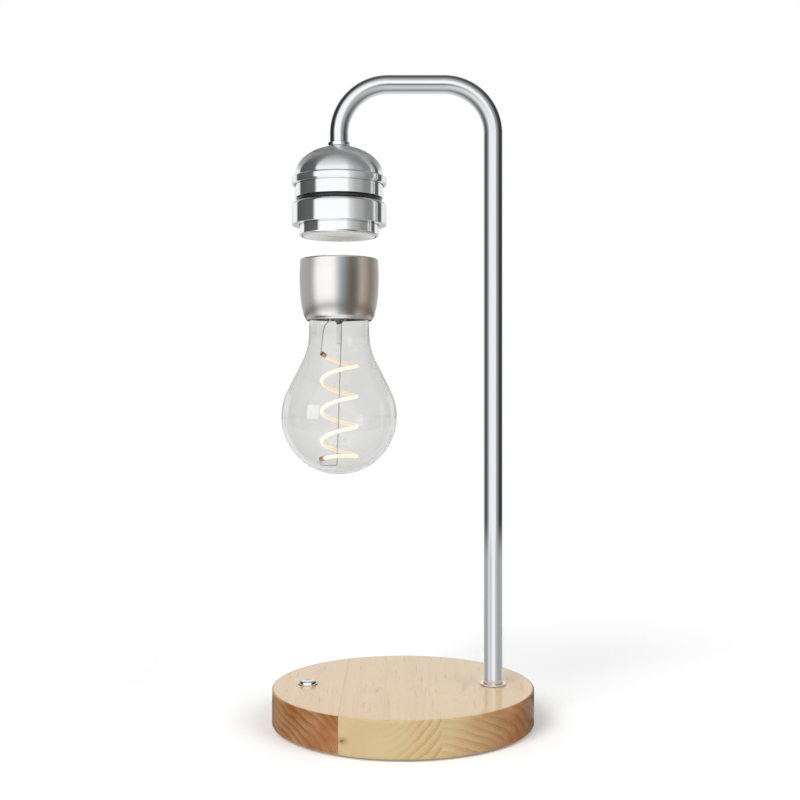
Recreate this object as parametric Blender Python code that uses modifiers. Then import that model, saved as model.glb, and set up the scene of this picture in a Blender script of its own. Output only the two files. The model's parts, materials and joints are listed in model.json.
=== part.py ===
"""A table lamp whose light bulb floats under a bell-shaped head.

A turned wooden base carries a push button, a low-voltage inlet and a bent steel tube. The tube holds a
head with an electromagnet and a power coil. Below the head a bulb with a spiral filament hangs in the
magnet's field.

Lengths are in metres. The origin is the middle of the base where it stands, +X points from the head to the
post, +Y away from the viewer and +Z up. Every outline of a turned piece is a list of (radius, height) pairs.
"""

from math import acos, ceil, cos, pi, radians, sin, sqrt, tan

import bmesh
import bpy
import numpy as np
from mathutils import Matrix, Vector

# Gaps and cuts
GAP = 0.0003
OVERRUN = 0.002
MERGE_DISTANCE = 0.00001

# Roundness
BASE_STEPS = 64
HEAD_STEPS = 40
GLASS_STEPS = 36
RING_STEPS = 24
INNER_STEPS = 20
SMALL_STEPS = 12
SHARP_ANGLE = radians(32)

# Wooden base
BASE_DIAMETER = 0.138
BASE_EDGE_ROUNDING = 0.0009
BASE_TOP_WALL = 0.005
BASE_SIDE_WALL = 0.0085

# Bottom plate and feet
PLATE_THICKNESS = 0.0015
PLATE_RIM = 0.003
PLATE_INSET = 0.0003
PLATE_SCREW_COUNT = 3
PLATE_SCREW_TURN = radians(30)
PLATE_SCREW_EDGE = 0.0024
PLATE_SCREW_SHANK_DIAMETER = 0.0025
PLATE_SCREW_HEAD_DIAMETER = 0.0046
PLATE_SCREW_HEAD_HEIGHT = 0.0011
PLATE_SCREW_HEAD_EDGE = 0.0002
PLATE_SCREW_LENGTH = 0.008
FOOT_COUNT = 4
FOOT_DIAMETER = 0.012
FOOT_PROUD = 0.0012
FOOT_BEVEL = 0.0004
FOOT_EDGE = 0.0135

# Supply board, its parts and the inlet
BOARD_THICKNESS = 0.0016
BOARD_WIDTH = 0.04
BOARD_DEPTH = 0.03
BOARD_SCREW_EDGE = 0.003
BOARD_CLEARANCE = 0.0005
BOARD_CORNER_GAP = 0.0008
SPACER_DIAMETER = 0.005
SMALL_SCREW_DIAMETER = 0.002
SMALL_SCREW_HEAD_DIAMETER = 0.0038
SMALL_SCREW_HEAD_HEIGHT = 0.001
SMALL_SCREW_BITE = 0.003
INLET_WIDTH = 0.009
INLET_HEIGHT = 0.0078
INLET_LENGTH = 0.014
INLET_RECESS = 0.0048
INLET_RECESS_DIAMETER = 0.0084
INLET_BORE_DIAMETER = 0.0062
INLET_BORE_DEPTH = 0.0095
INLET_PIN_DIAMETER = 0.0021
INLET_PIN_LENGTH = 0.0085
INDUCTOR_WIDTH = 0.008
INDUCTOR_HEIGHT = 0.004
CAPACITOR_DIAMETER = 0.0063
SUPPLY_CAPACITOR_HEIGHT = 0.007
COMPONENT_EDGE = 0.0085

# Push button
BUTTON_EDGE = 0.0186
BUTTON_DIAMETER = 0.0084
BUTTON_PROUD = 0.0022
BUTTON_SINK = 0.0012
BUTTON_ROUNDING = 0.0005
BUTTON_TRAVEL = 0.0008
BUTTON_STEM_DIAMETER = 0.003
BUTTON_GROOVE_DIAMETER = 0.002
BUTTON_STEM_TAIL = 0.0006
CLIP_DIAMETER = 0.0054
CLIP_THICKNESS = 0.0005
HOLDER_EDGE = 0.0019
HOLDER_FLANGE = 0.0012
HOLDER_SKIRT_CLEARANCE = 0.00045
HOLDER_SKIRT_WALL = 0.0009
SWITCH_WIDTH = 0.006
SWITCH_HEIGHT = 0.002
SWITCH_PLUNGER_DIAMETER = 0.0034
SWITCH_PLUNGER_HEIGHT = 0.0006
SWITCH_BOARD_THICKNESS = 0.0012
SWITCH_SCREW_EDGE = 0.0019
SPRING_WIRE = 0.0005
SPRING_TURNS = 3
SPRING_POINTS_PER_TURN = 8
SWITCH_LEAD_DIAMETER = 0.0016
SWITCH_LEAD_EDGE = 0.0025
SWITCH_LEAD_PULL_SHARE = 0.25
SWITCH_LEAD_POINTS = 10

# Bent tube
TUBE_DIAMETER = 0.01
TUBE_WALL = 0.001
TUBE_SIDE_RESOLUTION = 6
ARM_HEIGHT = 0.3178
BEND_RADIUS = 0.026
BEND_STEPS = 8
POST_EDGE = 0.0213
HEAD_EDGE = 0.0352
FLANGE_WIDTH = 0.00185
FLANGE_HEIGHT = 0.0008
FLANGE_BEVEL = 0.0003
POST_WASHER_WIDTH = 0.005
WASHER_THICKNESS = 0.0012
POST_NUT_WIDTH = 0.003
POST_NUT_HEIGHT = 0.005
TUBE_END_PROUD = 0.0006
CABLE_DIAMETER = 0.003
CABLE_BEND_RADIUS = 0.0045
CABLE_BEND_STEPS = 4
CABLE_STEP_SHARE = 3
CABLE_ROUTE_POINTS = 24

# Shells of the head
HEAD_STEM = 0.0049
HEAD_WALL = 0.001
COLLAR_WIDTH = 0.001
COLLAR_HEIGHT = 0.002
COLLAR_BEVEL = 0.0004
DOME_STEP = 0.0018
DOME_RISE = 0.0155
DOME_STEPS = 6
DOME_INNER_STEPS = 4
LIP_DIAMETER = 0.0502
LIP_HEIGHT = 0.0053
LIP_ROUNDING = 0.001
LIP_EDGE = 0.0008
LIP_SEAT = 0.0025
BARREL_STEP = 0.0019
BARREL_HEIGHT = 0.0068
BARREL_WALL = 0.0012
BARREL_FLANGE = 0.002
RING_STEP = 0.0007
RING_HEIGHT = 0.0018
RING_WIDTH = 0.0014
BAND_STEP = 0.0002
BAND_HEIGHT = 0.0119
BAND_WALL = 0.0012
BAND_SHOULDER = 0.0017
BAND_LOWER_BEVEL = 0.0003
FLANGE_RIM = 0.0056
CUP_STEP = 0.004
CUP_HEIGHT = 0.0059
CUP_WALL = 0.0012
CUP_ROUNDING = 0.0012
CUP_RIM = 0.0014
CUP_FLANGE = 0.0021
CUP_SEAT_WIDTH = 0.001
DISC_THICKNESS = 0.0014
HEAD_SCREW_COUNT = 3
HEAD_SCREW_EDGE = 0.0018

# Inside the head
HEAD_WASHER_WIDTH = 0.004
HEAD_NUT_WIDTH = 0.002
HEAD_NUT_HEIGHT = 0.004
POWER_COIL_HOLE = 0.02
POWER_COIL_THICKNESS = 0.001
SENSOR_BOARD_THICKNESS = 0.001
BOBBIN_STEP = 0.0006
BOBBIN_FLANGE = 0.0012
BOBBIN_WALL = 0.0009
COIL_STEP = 0.001
CORE_DIAMETER = 0.008
CORE_SCREW_DIAMETER = 0.003
CORE_SCREW_BITE = 0.006
CORE_SCREW_HEAD_DIAMETER = 0.0055
CORE_SCREW_HEAD_HEIGHT = 0.0018
CHASSIS_THICKNESS = 0.0011
DRIVER_BOARD_STEP = 0.0072
DRIVER_POST_COUNT = 3
DRIVER_POST_EDGE = 0.003
DRIVER_POST_DIAMETER = 0.004
DRIVER_POST_HEIGHT = 0.0026
DRIVER_CAPACITOR_HEIGHT = 0.0052
DRIVER_CAPACITOR_EDGE = 0.0043
DRIVER_CHIP_WIDTH = 0.006
DRIVER_CHIP_HEIGHT = 0.0012
DRIVER_CHIP_EDGE = 0.0055

# Cap of the bulb and what it holds
LEVITATION_GAP = 0.0119
CAP_OVERHANG = 0.0051
CAP_TOP_INSET = 0.0003
CAP_HEIGHT = 0.0327
CAP_CORNER_ROUNDING = 0.0009
CAP_WALL = 0.001
CAP_MOUTH_CLEARANCE = 0.0005
CAP_LOWER_INSET = 0.0022
CAP_WIDEST_SHARE = 0.31
CAP_TAPER_SHARE = 0.66
CAP_SHOULDER_SHARE = 0.905
CAP_TAPER_INSET = 0.0006
CAP_LIP_WIDTH = 0.0008
LID_THICKNESS = 0.002
POWER_PICKUP_HOLE = 0.018
POWER_PICKUP_THICKNESS = 0.0012
MAGNET_DIAMETER = 0.02
MAGNET_HEIGHT = 0.0064
HOLDER_FLOOR = 0.0015
HOLDER_WALL = 0.0012
HOLDER_DEPTH = 0.0125
PICKUP_BOARD_DIAMETER = 0.028
PICKUP_BOARD_THICKNESS = 0.0012

# Glass, stem, wires and filament
GLASS_DIAMETER = 0.061
GLASS_WALL = 0.0009
NECK_DIAMETER = 0.0316
NECK_SHOWING = 0.0056
NECK_CLEARANCE = 0.002
NECK_FILLET = 0.036
SHOULDER_ANGLE = radians(26.6)
NECK_FILLET_STEPS = 3
GLASS_BALL_STEPS = 9
STEM_FLARE_HEIGHT = 0.0064
STEM_FLARE_WALL = 0.001
STEM_PINCH_DIAMETER = 0.0072
STEM_PINCH_DROP = 0.0095
STEM_ROD_DIAMETER = 0.0026
STEM_ROD_LENGTH = 0.0105
WIRE_DIAMETER = 0.0008
LEAD_REACH = 0.0082
LEAD_BEND_DROP = 0.0051
CENTRE_WIRE_TOP_OFFSET = 0.0014
CENTRE_WIRE_FRONT = 0.0022
CENTRE_WIRE_LOWER_OFFSET = 0.0012
CENTRE_WIRE_HOOK_DROP = 0.0033
FILAMENT_DIAMETER = 0.002
FILAMENT_TURN_RADIUS = 0.0092
FILAMENT_PITCH = 0.0159
FILAMENT_LAST_PITCH = 0.004
FILAMENT_TILT_SHARE = 0.19
FILAMENT_END_TURN_SHARE = 0.4047
FILAMENT_TURNS = 3
FILAMENT_DEPTH = 0.0185
FILAMENT_POINTS_PER_TURN = 10
FILAMENT_CLIP_DIAMETER = 0.0026
FILAMENT_CLIP_LENGTH = 0.003

# Sizes that follow the tube
TUBE_HOLE = TUBE_DIAMETER + 2 * GAP
COLLAR_DIAMETER = TUBE_DIAMETER + 2 * COLLAR_WIDTH
FLANGE_DIAMETER = TUBE_DIAMETER + 2 * FLANGE_WIDTH
POST_WASHER_DIAMETER = TUBE_DIAMETER + 2 * POST_WASHER_WIDTH
POST_NUT_ACROSS = TUBE_DIAMETER + 2 * POST_NUT_WIDTH
HEAD_WASHER_DIAMETER = TUBE_DIAMETER + 2 * HEAD_WASHER_WIDTH
HEAD_NUT_ACROSS = TUBE_DIAMETER + 2 * HEAD_NUT_WIDTH

# Sizes that follow the lip of the head
DOME_DIAMETER = LIP_DIAMETER - 2 * DOME_STEP
BARREL_DIAMETER = LIP_DIAMETER - 2 * BARREL_STEP
BAND_DIAMETER = LIP_DIAMETER - 2 * BAND_STEP
RING_DIAMETER = BARREL_DIAMETER - 2 * RING_STEP
FLANGE_HOLE = BARREL_DIAMETER - 2 * FLANGE_RIM
CUP_DIAMETER = BAND_DIAMETER - 2 * CUP_STEP
HEAD_SCREW_REACH = FLANGE_HOLE / 2 + HEAD_SCREW_EDGE
BOBBIN_DIAMETER = FLANGE_HOLE - 2 * BOBBIN_STEP
COIL_DIAMETER = BOBBIN_DIAMETER - 2 * COIL_STEP
DRIVER_BOARD_DIAMETER = BARREL_DIAMETER - 2 * DRIVER_BOARD_STEP
DRIVER_POST_REACH = DRIVER_BOARD_DIAMETER / 2 - DRIVER_POST_EDGE
DRIVER_CAPACITOR_REACH = DRIVER_BOARD_DIAMETER / 2 - DRIVER_CAPACITOR_EDGE
DRIVER_CHIP_REACH = DRIVER_BOARD_DIAMETER / 2 - DRIVER_CHIP_EDGE
DOME_INNER_RADIUS = DOME_DIAMETER / 2 - HEAD_WALL
DOME_INNER_RISE = DOME_RISE - HEAD_WALL

# Sizes that follow the neck of the glass
CAP_DIAMETER = NECK_DIAMETER + 2 * CAP_OVERHANG
CAP_TOP_DIAMETER = CAP_DIAMETER - 2 * CAP_TOP_INSET
CAP_TAPER_DIAMETER = CAP_DIAMETER - 2 * CAP_TAPER_INSET
CAP_LOWER_DIAMETER = CAP_DIAMETER - 2 * CAP_LOWER_INSET
CAP_MOUTH_DIAMETER = NECK_DIAMETER + 2 * CAP_MOUTH_CLEARANCE
CAP_LIP_DIAMETER = CAP_MOUTH_DIAMETER + 2 * CAP_LIP_WIDTH

# Sizes that follow the push button's stem and switch
SPRING_DIAMETER = BUTTON_STEM_DIAMETER + 2 * (GAP + SPRING_WIRE)
HOLDER_SKIRT_DIAMETER = sqrt(2) * SWITCH_WIDTH + 2 * (HOLDER_SKIRT_CLEARANCE + HOLDER_SKIRT_WALL)
SWITCH_SCREW_REACH = HOLDER_SKIRT_DIAMETER / 2 + SWITCH_SCREW_EDGE
HOLDER_DIAMETER = 2 * (SWITCH_SCREW_REACH + HOLDER_EDGE)

# Heights in the base: the inlet stands on its board between the plate and the wood
WOOD_BOTTOM = FOOT_PROUD
PLATE_BOTTOM = WOOD_BOTTOM + PLATE_INSET
PLATE_TOP = PLATE_BOTTOM + PLATE_THICKNESS
LEDGE = PLATE_TOP + GAP
BOARD_BOTTOM = PLATE_TOP + BOARD_CLEARANCE + SMALL_SCREW_HEAD_HEIGHT + GAP
BOARD_TOP = BOARD_BOTTOM + BOARD_THICKNESS
INLET_BOTTOM = BOARD_TOP + GAP
INLET_TOP = INLET_BOTTOM + INLET_HEIGHT
CEILING = INLET_TOP + GAP
WOOD_TOP = CEILING + BASE_TOP_WALL
BASE_RADIUS = BASE_DIAMETER / 2
POCKET_RADIUS = BASE_RADIUS - BASE_SIDE_WALL
PLATE_HOLE_RADIUS = BASE_RADIUS - PLATE_RIM
PLATE_RADIUS = PLATE_HOLE_RADIUS - GAP
PLATE_SCREW_CIRCLE = PLATE_RADIUS - PLATE_SCREW_EDGE
FOOT_CIRCLE = PLATE_RADIUS - FOOT_EDGE

# Places of the inlet and the supply board
INLET_AXIS_HEIGHT = INLET_BOTTOM + INLET_HEIGHT / 2
INLET_FRONT = BASE_RADIUS - INLET_RECESS
INLET_BACK = INLET_FRONT - INLET_LENGTH
BOARD_REAR = sqrt((POCKET_RADIUS - BOARD_CORNER_GAP) ** 2 - (BOARD_WIDTH / 2) ** 2)
BOARD_MIDDLE = BOARD_REAR - BOARD_DEPTH / 2
BOARD_SCREW_PLACE = (0, BOARD_REAR - BOARD_DEPTH + BOARD_SCREW_EDGE)

# Places of the push button
BUTTON_REACH = BASE_RADIUS - BUTTON_EDGE
BUTTON_TOP = WOOD_TOP + BUTTON_PROUD
BUTTON_BOTTOM = WOOD_TOP - BUTTON_SINK
HOLDER_TOP = CEILING - GAP
HOLDER_BOTTOM = HOLDER_TOP - HOLDER_FLANGE
CLIP_TOP = HOLDER_BOTTOM - GAP
CLIP_BOTTOM = CLIP_TOP - CLIP_THICKNESS
STEM_END = CLIP_BOTTOM - GAP - BUTTON_STEM_TAIL
PLUNGER_TOP = STEM_END - BUTTON_TRAVEL - GAP
SWITCH_BOTTOM = PLUNGER_TOP - SWITCH_PLUNGER_HEIGHT - SWITCH_HEIGHT
SWITCH_BOARD_TOP = SWITCH_BOTTOM - GAP
SWITCH_BOARD_BOTTOM = SWITCH_BOARD_TOP - SWITCH_BOARD_THICKNESS
BUTTON_PLACE = (-BUTTON_REACH, 0)

# Places of the tube
POST_REACH = BASE_RADIUS - POST_EDGE
HEAD_REACH = BASE_RADIUS - HEAD_EDGE
POST_PLACE = (POST_REACH, 0)
HEAD_PLACE = (-HEAD_REACH, 0)
ARM_LEVEL = WOOD_TOP + ARM_HEIGHT
FLANGE_BOTTOM = WOOD_TOP + GAP
POST_WASHER_BOTTOM = CEILING - GAP - WASHER_THICKNESS
POST_NUT_BOTTOM = POST_WASHER_BOTTOM - GAP - POST_NUT_HEIGHT
TUBE_LOWER_END = POST_NUT_BOTTOM - TUBE_END_PROUD

# Heights in the head, from the bend of the tube down
COLLAR_TOP = ARM_LEVEL - BEND_RADIUS - HEAD_STEM
COLLAR_BOTTOM = COLLAR_TOP - COLLAR_HEIGHT
DOME_LEVEL = COLLAR_BOTTOM - GAP - DOME_RISE * sqrt(1 - (TUBE_HOLE / DOME_DIAMETER) ** 2)
LIP_BOTTOM = DOME_LEVEL - LIP_HEIGHT
BARREL_BOTTOM = LIP_BOTTOM - BARREL_HEIGHT
RING_TOP = BARREL_BOTTOM - GAP
RING_BOTTOM = RING_TOP - RING_HEIGHT
BAND_TOP = RING_BOTTOM - GAP
BAND_BOTTOM = BAND_TOP - BAND_HEIGHT
FACE = BAND_BOTTOM - CUP_HEIGHT
CHASSIS_TOP = LIP_BOTTOM + LIP_SEAT - GAP
CHASSIS_BOTTOM = CHASSIS_TOP - CHASSIS_THICKNESS
BARREL_TOP = CHASSIS_BOTTOM - GAP
DISC_SEAT = FACE + DISC_THICKNESS + GAP
DISC_RADIUS = CUP_DIAMETER / 2 - CUP_RIM - GAP
POWER_COIL_BOTTOM = DISC_SEAT + CUP_SEAT_WIDTH + GAP
SENSOR_BOARD_BOTTOM = POWER_COIL_BOTTOM + POWER_COIL_THICKNESS + GAP
BOBBIN_BOTTOM = SENSOR_BOARD_BOTTOM + SENSOR_BOARD_THICKNESS + GAP
BOBBIN_TOP = CHASSIS_BOTTOM - GAP
DRIVER_BOARD_BOTTOM = CHASSIS_TOP + GAP + DRIVER_POST_HEIGHT + GAP
DRIVER_BOARD_TOP = DRIVER_BOARD_BOTTOM + BOARD_THICKNESS
HEAD_WASHER_SHARE = HEAD_WASHER_DIAMETER / 2 / DOME_INNER_RADIUS
HEAD_WASHER_TOP = DOME_LEVEL + DOME_INNER_RISE * sqrt(1 - HEAD_WASHER_SHARE**2) - GAP
HEAD_NUT_TOP = HEAD_WASHER_TOP - WASHER_THICKNESS - GAP
TUBE_UPPER_END = HEAD_NUT_TOP - HEAD_NUT_HEIGHT - TUBE_END_PROUD

# Heights in the bulb
CAP_TOP = FACE - LEVITATION_GAP
CAP_BOTTOM = CAP_TOP - CAP_HEIGHT
LID_BOTTOM = CAP_TOP - LID_THICKNESS
INSERT_RADIUS = CAP_TOP_DIAMETER / 2 - CAP_WALL - GAP
PICKUP_COIL_BOTTOM = LID_BOTTOM - GAP - POWER_PICKUP_THICKNESS
MAGNET_HOLDER_TOP = PICKUP_COIL_BOTTOM - GAP
MAGNET_HOLDER_BOTTOM = MAGNET_HOLDER_TOP - HOLDER_DEPTH
PICKUP_BOARD_TOP = MAGNET_HOLDER_BOTTOM - GAP
PICKUP_BOARD_BOTTOM = PICKUP_BOARD_TOP - PICKUP_BOARD_THICKNESS
NECK_TOP = PICKUP_BOARD_BOTTOM - NECK_CLEARANCE
NECK_START = CAP_BOTTOM - NECK_SHOWING
STEM_LIP = NECK_START + STEM_PINCH_DROP + STEM_FLARE_WALL
FILAMENT_LEVEL = NECK_START - FILAMENT_DEPTH


def new_collection(name):
    collection = bpy.data.collections.new(name)
    bpy.context.scene.collection.children.link(collection)
    return collection


def finish(name, colour, roughness, metallic=0.0, transmission=0.0, glow=0.0):
    """A Principled material of one finish."""
    material = bpy.data.materials.new(name)
    material.use_nodes = True
    material.diffuse_color = (*colour, 1)
    shader = material.node_tree.nodes["Principled BSDF"]
    shader.inputs["Base Color"].default_value = (*colour, 1)
    shader.inputs["Roughness"].default_value = roughness
    shader.inputs["Metallic"].default_value = metallic
    shader.inputs["Transmission Weight"].default_value = transmission
    shader.inputs["Emission Color"].default_value = (*colour, 1)
    shader.inputs["Emission Strength"].default_value = glow
    return material


def add(name, mesh, material, place=(0, 0), axle=None):
    """Puts a mesh into the lamp as one named piece, under its joint's empty if it has one."""
    obj = bpy.data.objects.new(name, mesh)
    if not mesh.materials:
        mesh.materials.append(material)
    lamp.objects.link(obj)
    if axle:
        obj.parent = axle
    else:
        obj.location = (*place, 0)
    return obj


def baked(obj):
    """The object's mesh with its modifiers applied, its doubles merged and its round parts shaded smooth."""
    bpy.context.view_layer.update()
    graph = bpy.context.evaluated_depsgraph_get()
    mesh = bpy.data.meshes.new_from_object(obj.evaluated_get(graph))
    mesh.transform(obj.matrix_world)
    bpy.data.objects.remove(obj, do_unlink=True)
    work = bmesh.new()
    work.from_mesh(mesh)
    bmesh.ops.remove_doubles(work, verts=work.verts, dist=MERGE_DISTANCE)
    work.to_mesh(mesh)
    work.free()
    mesh.shade_smooth()
    mesh.set_sharp_from_angle(angle=SHARP_ANGLE)
    return mesh


def guide(name, data):
    obj = bpy.data.objects.new(name, data)
    bpy.context.scene.collection.objects.link(obj)
    return obj


def turned(outline, steps, ring=False):
    """A mesh turned about Z from an outline that runs down the outer side.

    The outline of a ring closes on itself.
    """
    mesh = bpy.data.meshes.new("outline")
    count = len(outline)
    edges = [(i, (i + 1) % count) for i in range(count if ring else count - 1)]
    mesh.from_pydata([(radius, 0, height) for radius, height in outline], edges, [])
    obj = guide("outline", mesh)
    screw = obj.modifiers.new("turn", "SCREW")
    screw.steps = steps
    screw.render_steps = steps
    screw.use_merge_vertices = True
    screw.merge_threshold = MERGE_DISTANCE
    return baked(obj)


def tube(points, diameter, side_resolution, wall=0.0):
    """A mesh tube along the points. It is solid, or open-ended with this wall."""
    curve = bpy.data.curves.new("route", "CURVE")
    curve.dimensions = "3D"
    curve.bevel_depth = diameter / 2
    curve.bevel_resolution = side_resolution
    curve.use_fill_caps = not wall
    spline = curve.splines.new("POLY")
    spline.points.add(len(points) - 1)
    for place, point in zip(spline.points, points):
        place.co = (*point, 1)
    mesh = baked(guide("route", curve))
    if wall:
        obj = guide("shell", mesh)
        shell = obj.modifiers.new("wall", "SOLIDIFY")
        shell.thickness = wall
        shell.offset = -1
        mesh = baked(obj)
    return mesh


def block(size, centre):
    """A box mesh of this size about a centre."""
    mesh = bpy.data.meshes.new("block")
    work = bmesh.new()
    bmesh.ops.create_cube(work, size=1, matrix=Matrix.Translation(centre) @ Matrix.Diagonal((*size, 1)))
    work.to_mesh(mesh)
    work.free()
    return mesh


def rod(diameter, bottom, top, steps, place=(0, 0)):
    """An upright cylinder mesh between two heights."""
    mesh = bpy.data.meshes.new("rod")
    work = bmesh.new()
    centre = Matrix.Translation((*place, (bottom + top) / 2))
    bmesh.ops.create_cone(
        work, cap_ends=True, segments=steps, radius1=diameter / 2, radius2=diameter / 2, depth=top - bottom,
        matrix=centre,
    )
    work.to_mesh(mesh)
    work.free()
    mesh.shade_smooth()
    mesh.set_sharp_from_angle(angle=SHARP_ANGLE)
    return mesh


def copies(mesh, places):
    """One mesh that holds a copy of the mesh at each place, for a tool that cuts several holes."""
    work = bmesh.new()
    for x, y in places:
        twin = mesh.copy()
        twin.transform(Matrix.Translation((x, y, 0)))
        work.from_mesh(twin)
        bpy.data.meshes.remove(twin)
    joined = bpy.data.meshes.new("group")
    work.to_mesh(joined)
    work.free()
    return joined


def add_each(name, mesh, material, places, middle=(0, 0)):
    """Adds the same piece at each place about a middle, numbered from 1."""
    for number, (x, y) in enumerate(places, 1):
        add(f"{name}_{number}", mesh, material, (middle[0] + x, middle[1] + y))


def cut(obj, name, mesh, place=(0, 0), operation="DIFFERENCE"):
    """Cuts a hidden tool out of the object, or joins it to the object as one solid."""
    tool = bpy.data.objects.new(name, mesh)
    tool.location = (*place, 0)
    tool.hide_render = True
    tool.display_type = "WIRE"
    cutters.objects.link(tool)
    if obj.parent:
        tool.parent = obj.parent
    modifier = obj.modifiers.new(name, "BOOLEAN")
    modifier.operation = operation
    modifier.solver = "EXACT"
    modifier.object = tool


def arc(centre, radius, start, end, steps):
    """Points of an arc in an outline, from one angle in degrees to another."""
    angles = np.radians(np.linspace(start, end, steps + 1))
    return [(centre[0] + radius * cos(angle), centre[1] + radius * sin(angle)) for angle in angles]


def plain_ring(outer, inner, bottom, top):
    """The outline of a flat ring between two diameters and two heights."""
    return [(outer / 2, top), (outer / 2, bottom), (inner / 2, bottom), (inner / 2, top)]


def plain_disc(diameter, bottom, top):
    """The outline of a plain disc."""
    return [(0, top), (diameter / 2, top), (diameter / 2, bottom), (0, bottom)]


def circle_places(count, radius, turn=0.0):
    """Places evenly round a circle about the Z axis."""
    angles = [turn + 2 * pi * i / count for i in range(count)]
    return [(radius * cos(angle), radius * sin(angle)) for angle in angles]


def screw_outline(diameter, head_diameter, head_height, underside, tip):
    """A screw that points up, with a flat round head under the surface that it clamps."""
    return [
        (0, tip),
        (diameter / 2, tip),
        (diameter / 2, underside),
        (head_diameter / 2, underside),
        (head_diameter / 2, underside - head_height),
        (0, underside - head_height),
    ]


def hexagon_nut(across, bottom, top):
    """A plain hexagon between two heights."""
    return rod(across / cos(pi / 6), bottom, top, 6)


def switch_screw_places():
    return [(-BUTTON_REACH, -SWITCH_SCREW_REACH), (-BUTTON_REACH, SWITCH_SCREW_REACH)]


def build_wood_base(wood):
    """The turned disc, hollow from below, with a recess for the plate and holes for what it carries."""
    corner = BASE_RADIUS - BASE_EDGE_ROUNDING
    outline = [(0, WOOD_TOP)]
    outline += arc((corner, WOOD_TOP - BASE_EDGE_ROUNDING), BASE_EDGE_ROUNDING, 90, 0, 2)
    outline += arc((corner, WOOD_BOTTOM + BASE_EDGE_ROUNDING), BASE_EDGE_ROUNDING, 0, -90, 2)
    outline += [
        (PLATE_HOLE_RADIUS, WOOD_BOTTOM),
        (PLATE_HOLE_RADIUS, LEDGE),
        (POCKET_RADIUS, LEDGE),
        (POCKET_RADIUS, CEILING),
        (0, CEILING),
    ]
    base = add("wood_base", turned(outline, BASE_STEPS), wood)
    through = (CEILING - OVERRUN, WOOD_TOP + OVERRUN)
    cut(base, "post_hole", rod(TUBE_HOLE, *through, RING_STEPS), POST_PLACE)
    cut(base, "button_hole", rod(BUTTON_DIAMETER + 2 * GAP, *through, RING_STEPS), BUTTON_PLACE)
    pilot_top = PLATE_BOTTOM + PLATE_SCREW_LENGTH + GAP
    pilot = rod(PLATE_SCREW_SHANK_DIAMETER + 2 * GAP, LEDGE - OVERRUN, pilot_top, SMALL_STEPS)
    cut(base, "plate_screw_pilots", copies(pilot, plate_screw_places()))
    pilot_top = CEILING + SMALL_SCREW_BITE + GAP
    pilot = rod(SMALL_SCREW_DIAMETER + 2 * GAP, CEILING - OVERRUN, pilot_top, SMALL_STEPS)
    cut(base, "small_screw_pilots", copies(pilot, [BOARD_SCREW_PLACE, *switch_screw_places()]))
    slot_back = INLET_BACK - OVERRUN
    slot_front = INLET_FRONT + GAP
    slot_top = INLET_TOP + GAP
    slot_bottom = PLATE_BOTTOM
    slot_size = (INLET_WIDTH + 2 * GAP, slot_front - slot_back, slot_top - slot_bottom)
    cut(base, "inlet_slot", block(slot_size, (0, (slot_front + slot_back) / 2, (slot_top + slot_bottom) / 2)))
    recess = rod(INLET_RECESS_DIAMETER, slot_back, BASE_RADIUS + OVERRUN, RING_STEPS)
    recess.transform(Matrix.Translation((0, 0, INLET_AXIS_HEIGHT)) @ Matrix.Rotation(-pi / 2, 4, "X"))
    cut(base, "inlet_recess", recess)


def plate_screw_places():
    return circle_places(PLATE_SCREW_COUNT, PLATE_SCREW_CIRCLE, PLATE_SCREW_TURN)


def plate_screw_outline(grow, tip, face):
    """A countersunk screw that points up from its flat face, grown by a gap for the hole that takes it."""
    head = PLATE_SCREW_HEAD_DIAMETER / 2 + grow
    shank = PLATE_SCREW_SHANK_DIAMETER / 2 + grow
    return [
        (0, tip),
        (shank, tip),
        (shank, PLATE_BOTTOM + PLATE_SCREW_HEAD_HEIGHT),
        (head, PLATE_BOTTOM + PLATE_SCREW_HEAD_EDGE),
        (head, face),
        (0, face),
    ]


def build_bottom(steel, screw_steel, rubber):
    """The plate that closes the base, its screws and the four feet stuck to it."""
    outline = plain_disc(2 * PLATE_RADIUS, PLATE_BOTTOM, PLATE_TOP)
    plate = add("base_plate", turned(outline, HEAD_STEPS), steel)
    hole = turned(plate_screw_outline(GAP, PLATE_TOP + OVERRUN, PLATE_BOTTOM - OVERRUN), SMALL_STEPS)
    cut(plate, "plate_countersinks", copies(hole, plate_screw_places()))
    screw = turned(plate_screw_outline(0, PLATE_BOTTOM + PLATE_SCREW_LENGTH, PLATE_BOTTOM), SMALL_STEPS)
    add_each("plate_screw", screw, screw_steel, plate_screw_places())
    radius = FOOT_DIAMETER / 2
    top = PLATE_BOTTOM - GAP
    outline = [(0, top), (radius, top), (radius, FOOT_BEVEL), (radius - FOOT_BEVEL, 0), (0, 0)]
    pad = turned(outline, RING_STEPS)
    add_each("rubber_foot", pad, rubber, circle_places(FOOT_COUNT, FOOT_CIRCLE, pi / FOOT_COUNT))


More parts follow.
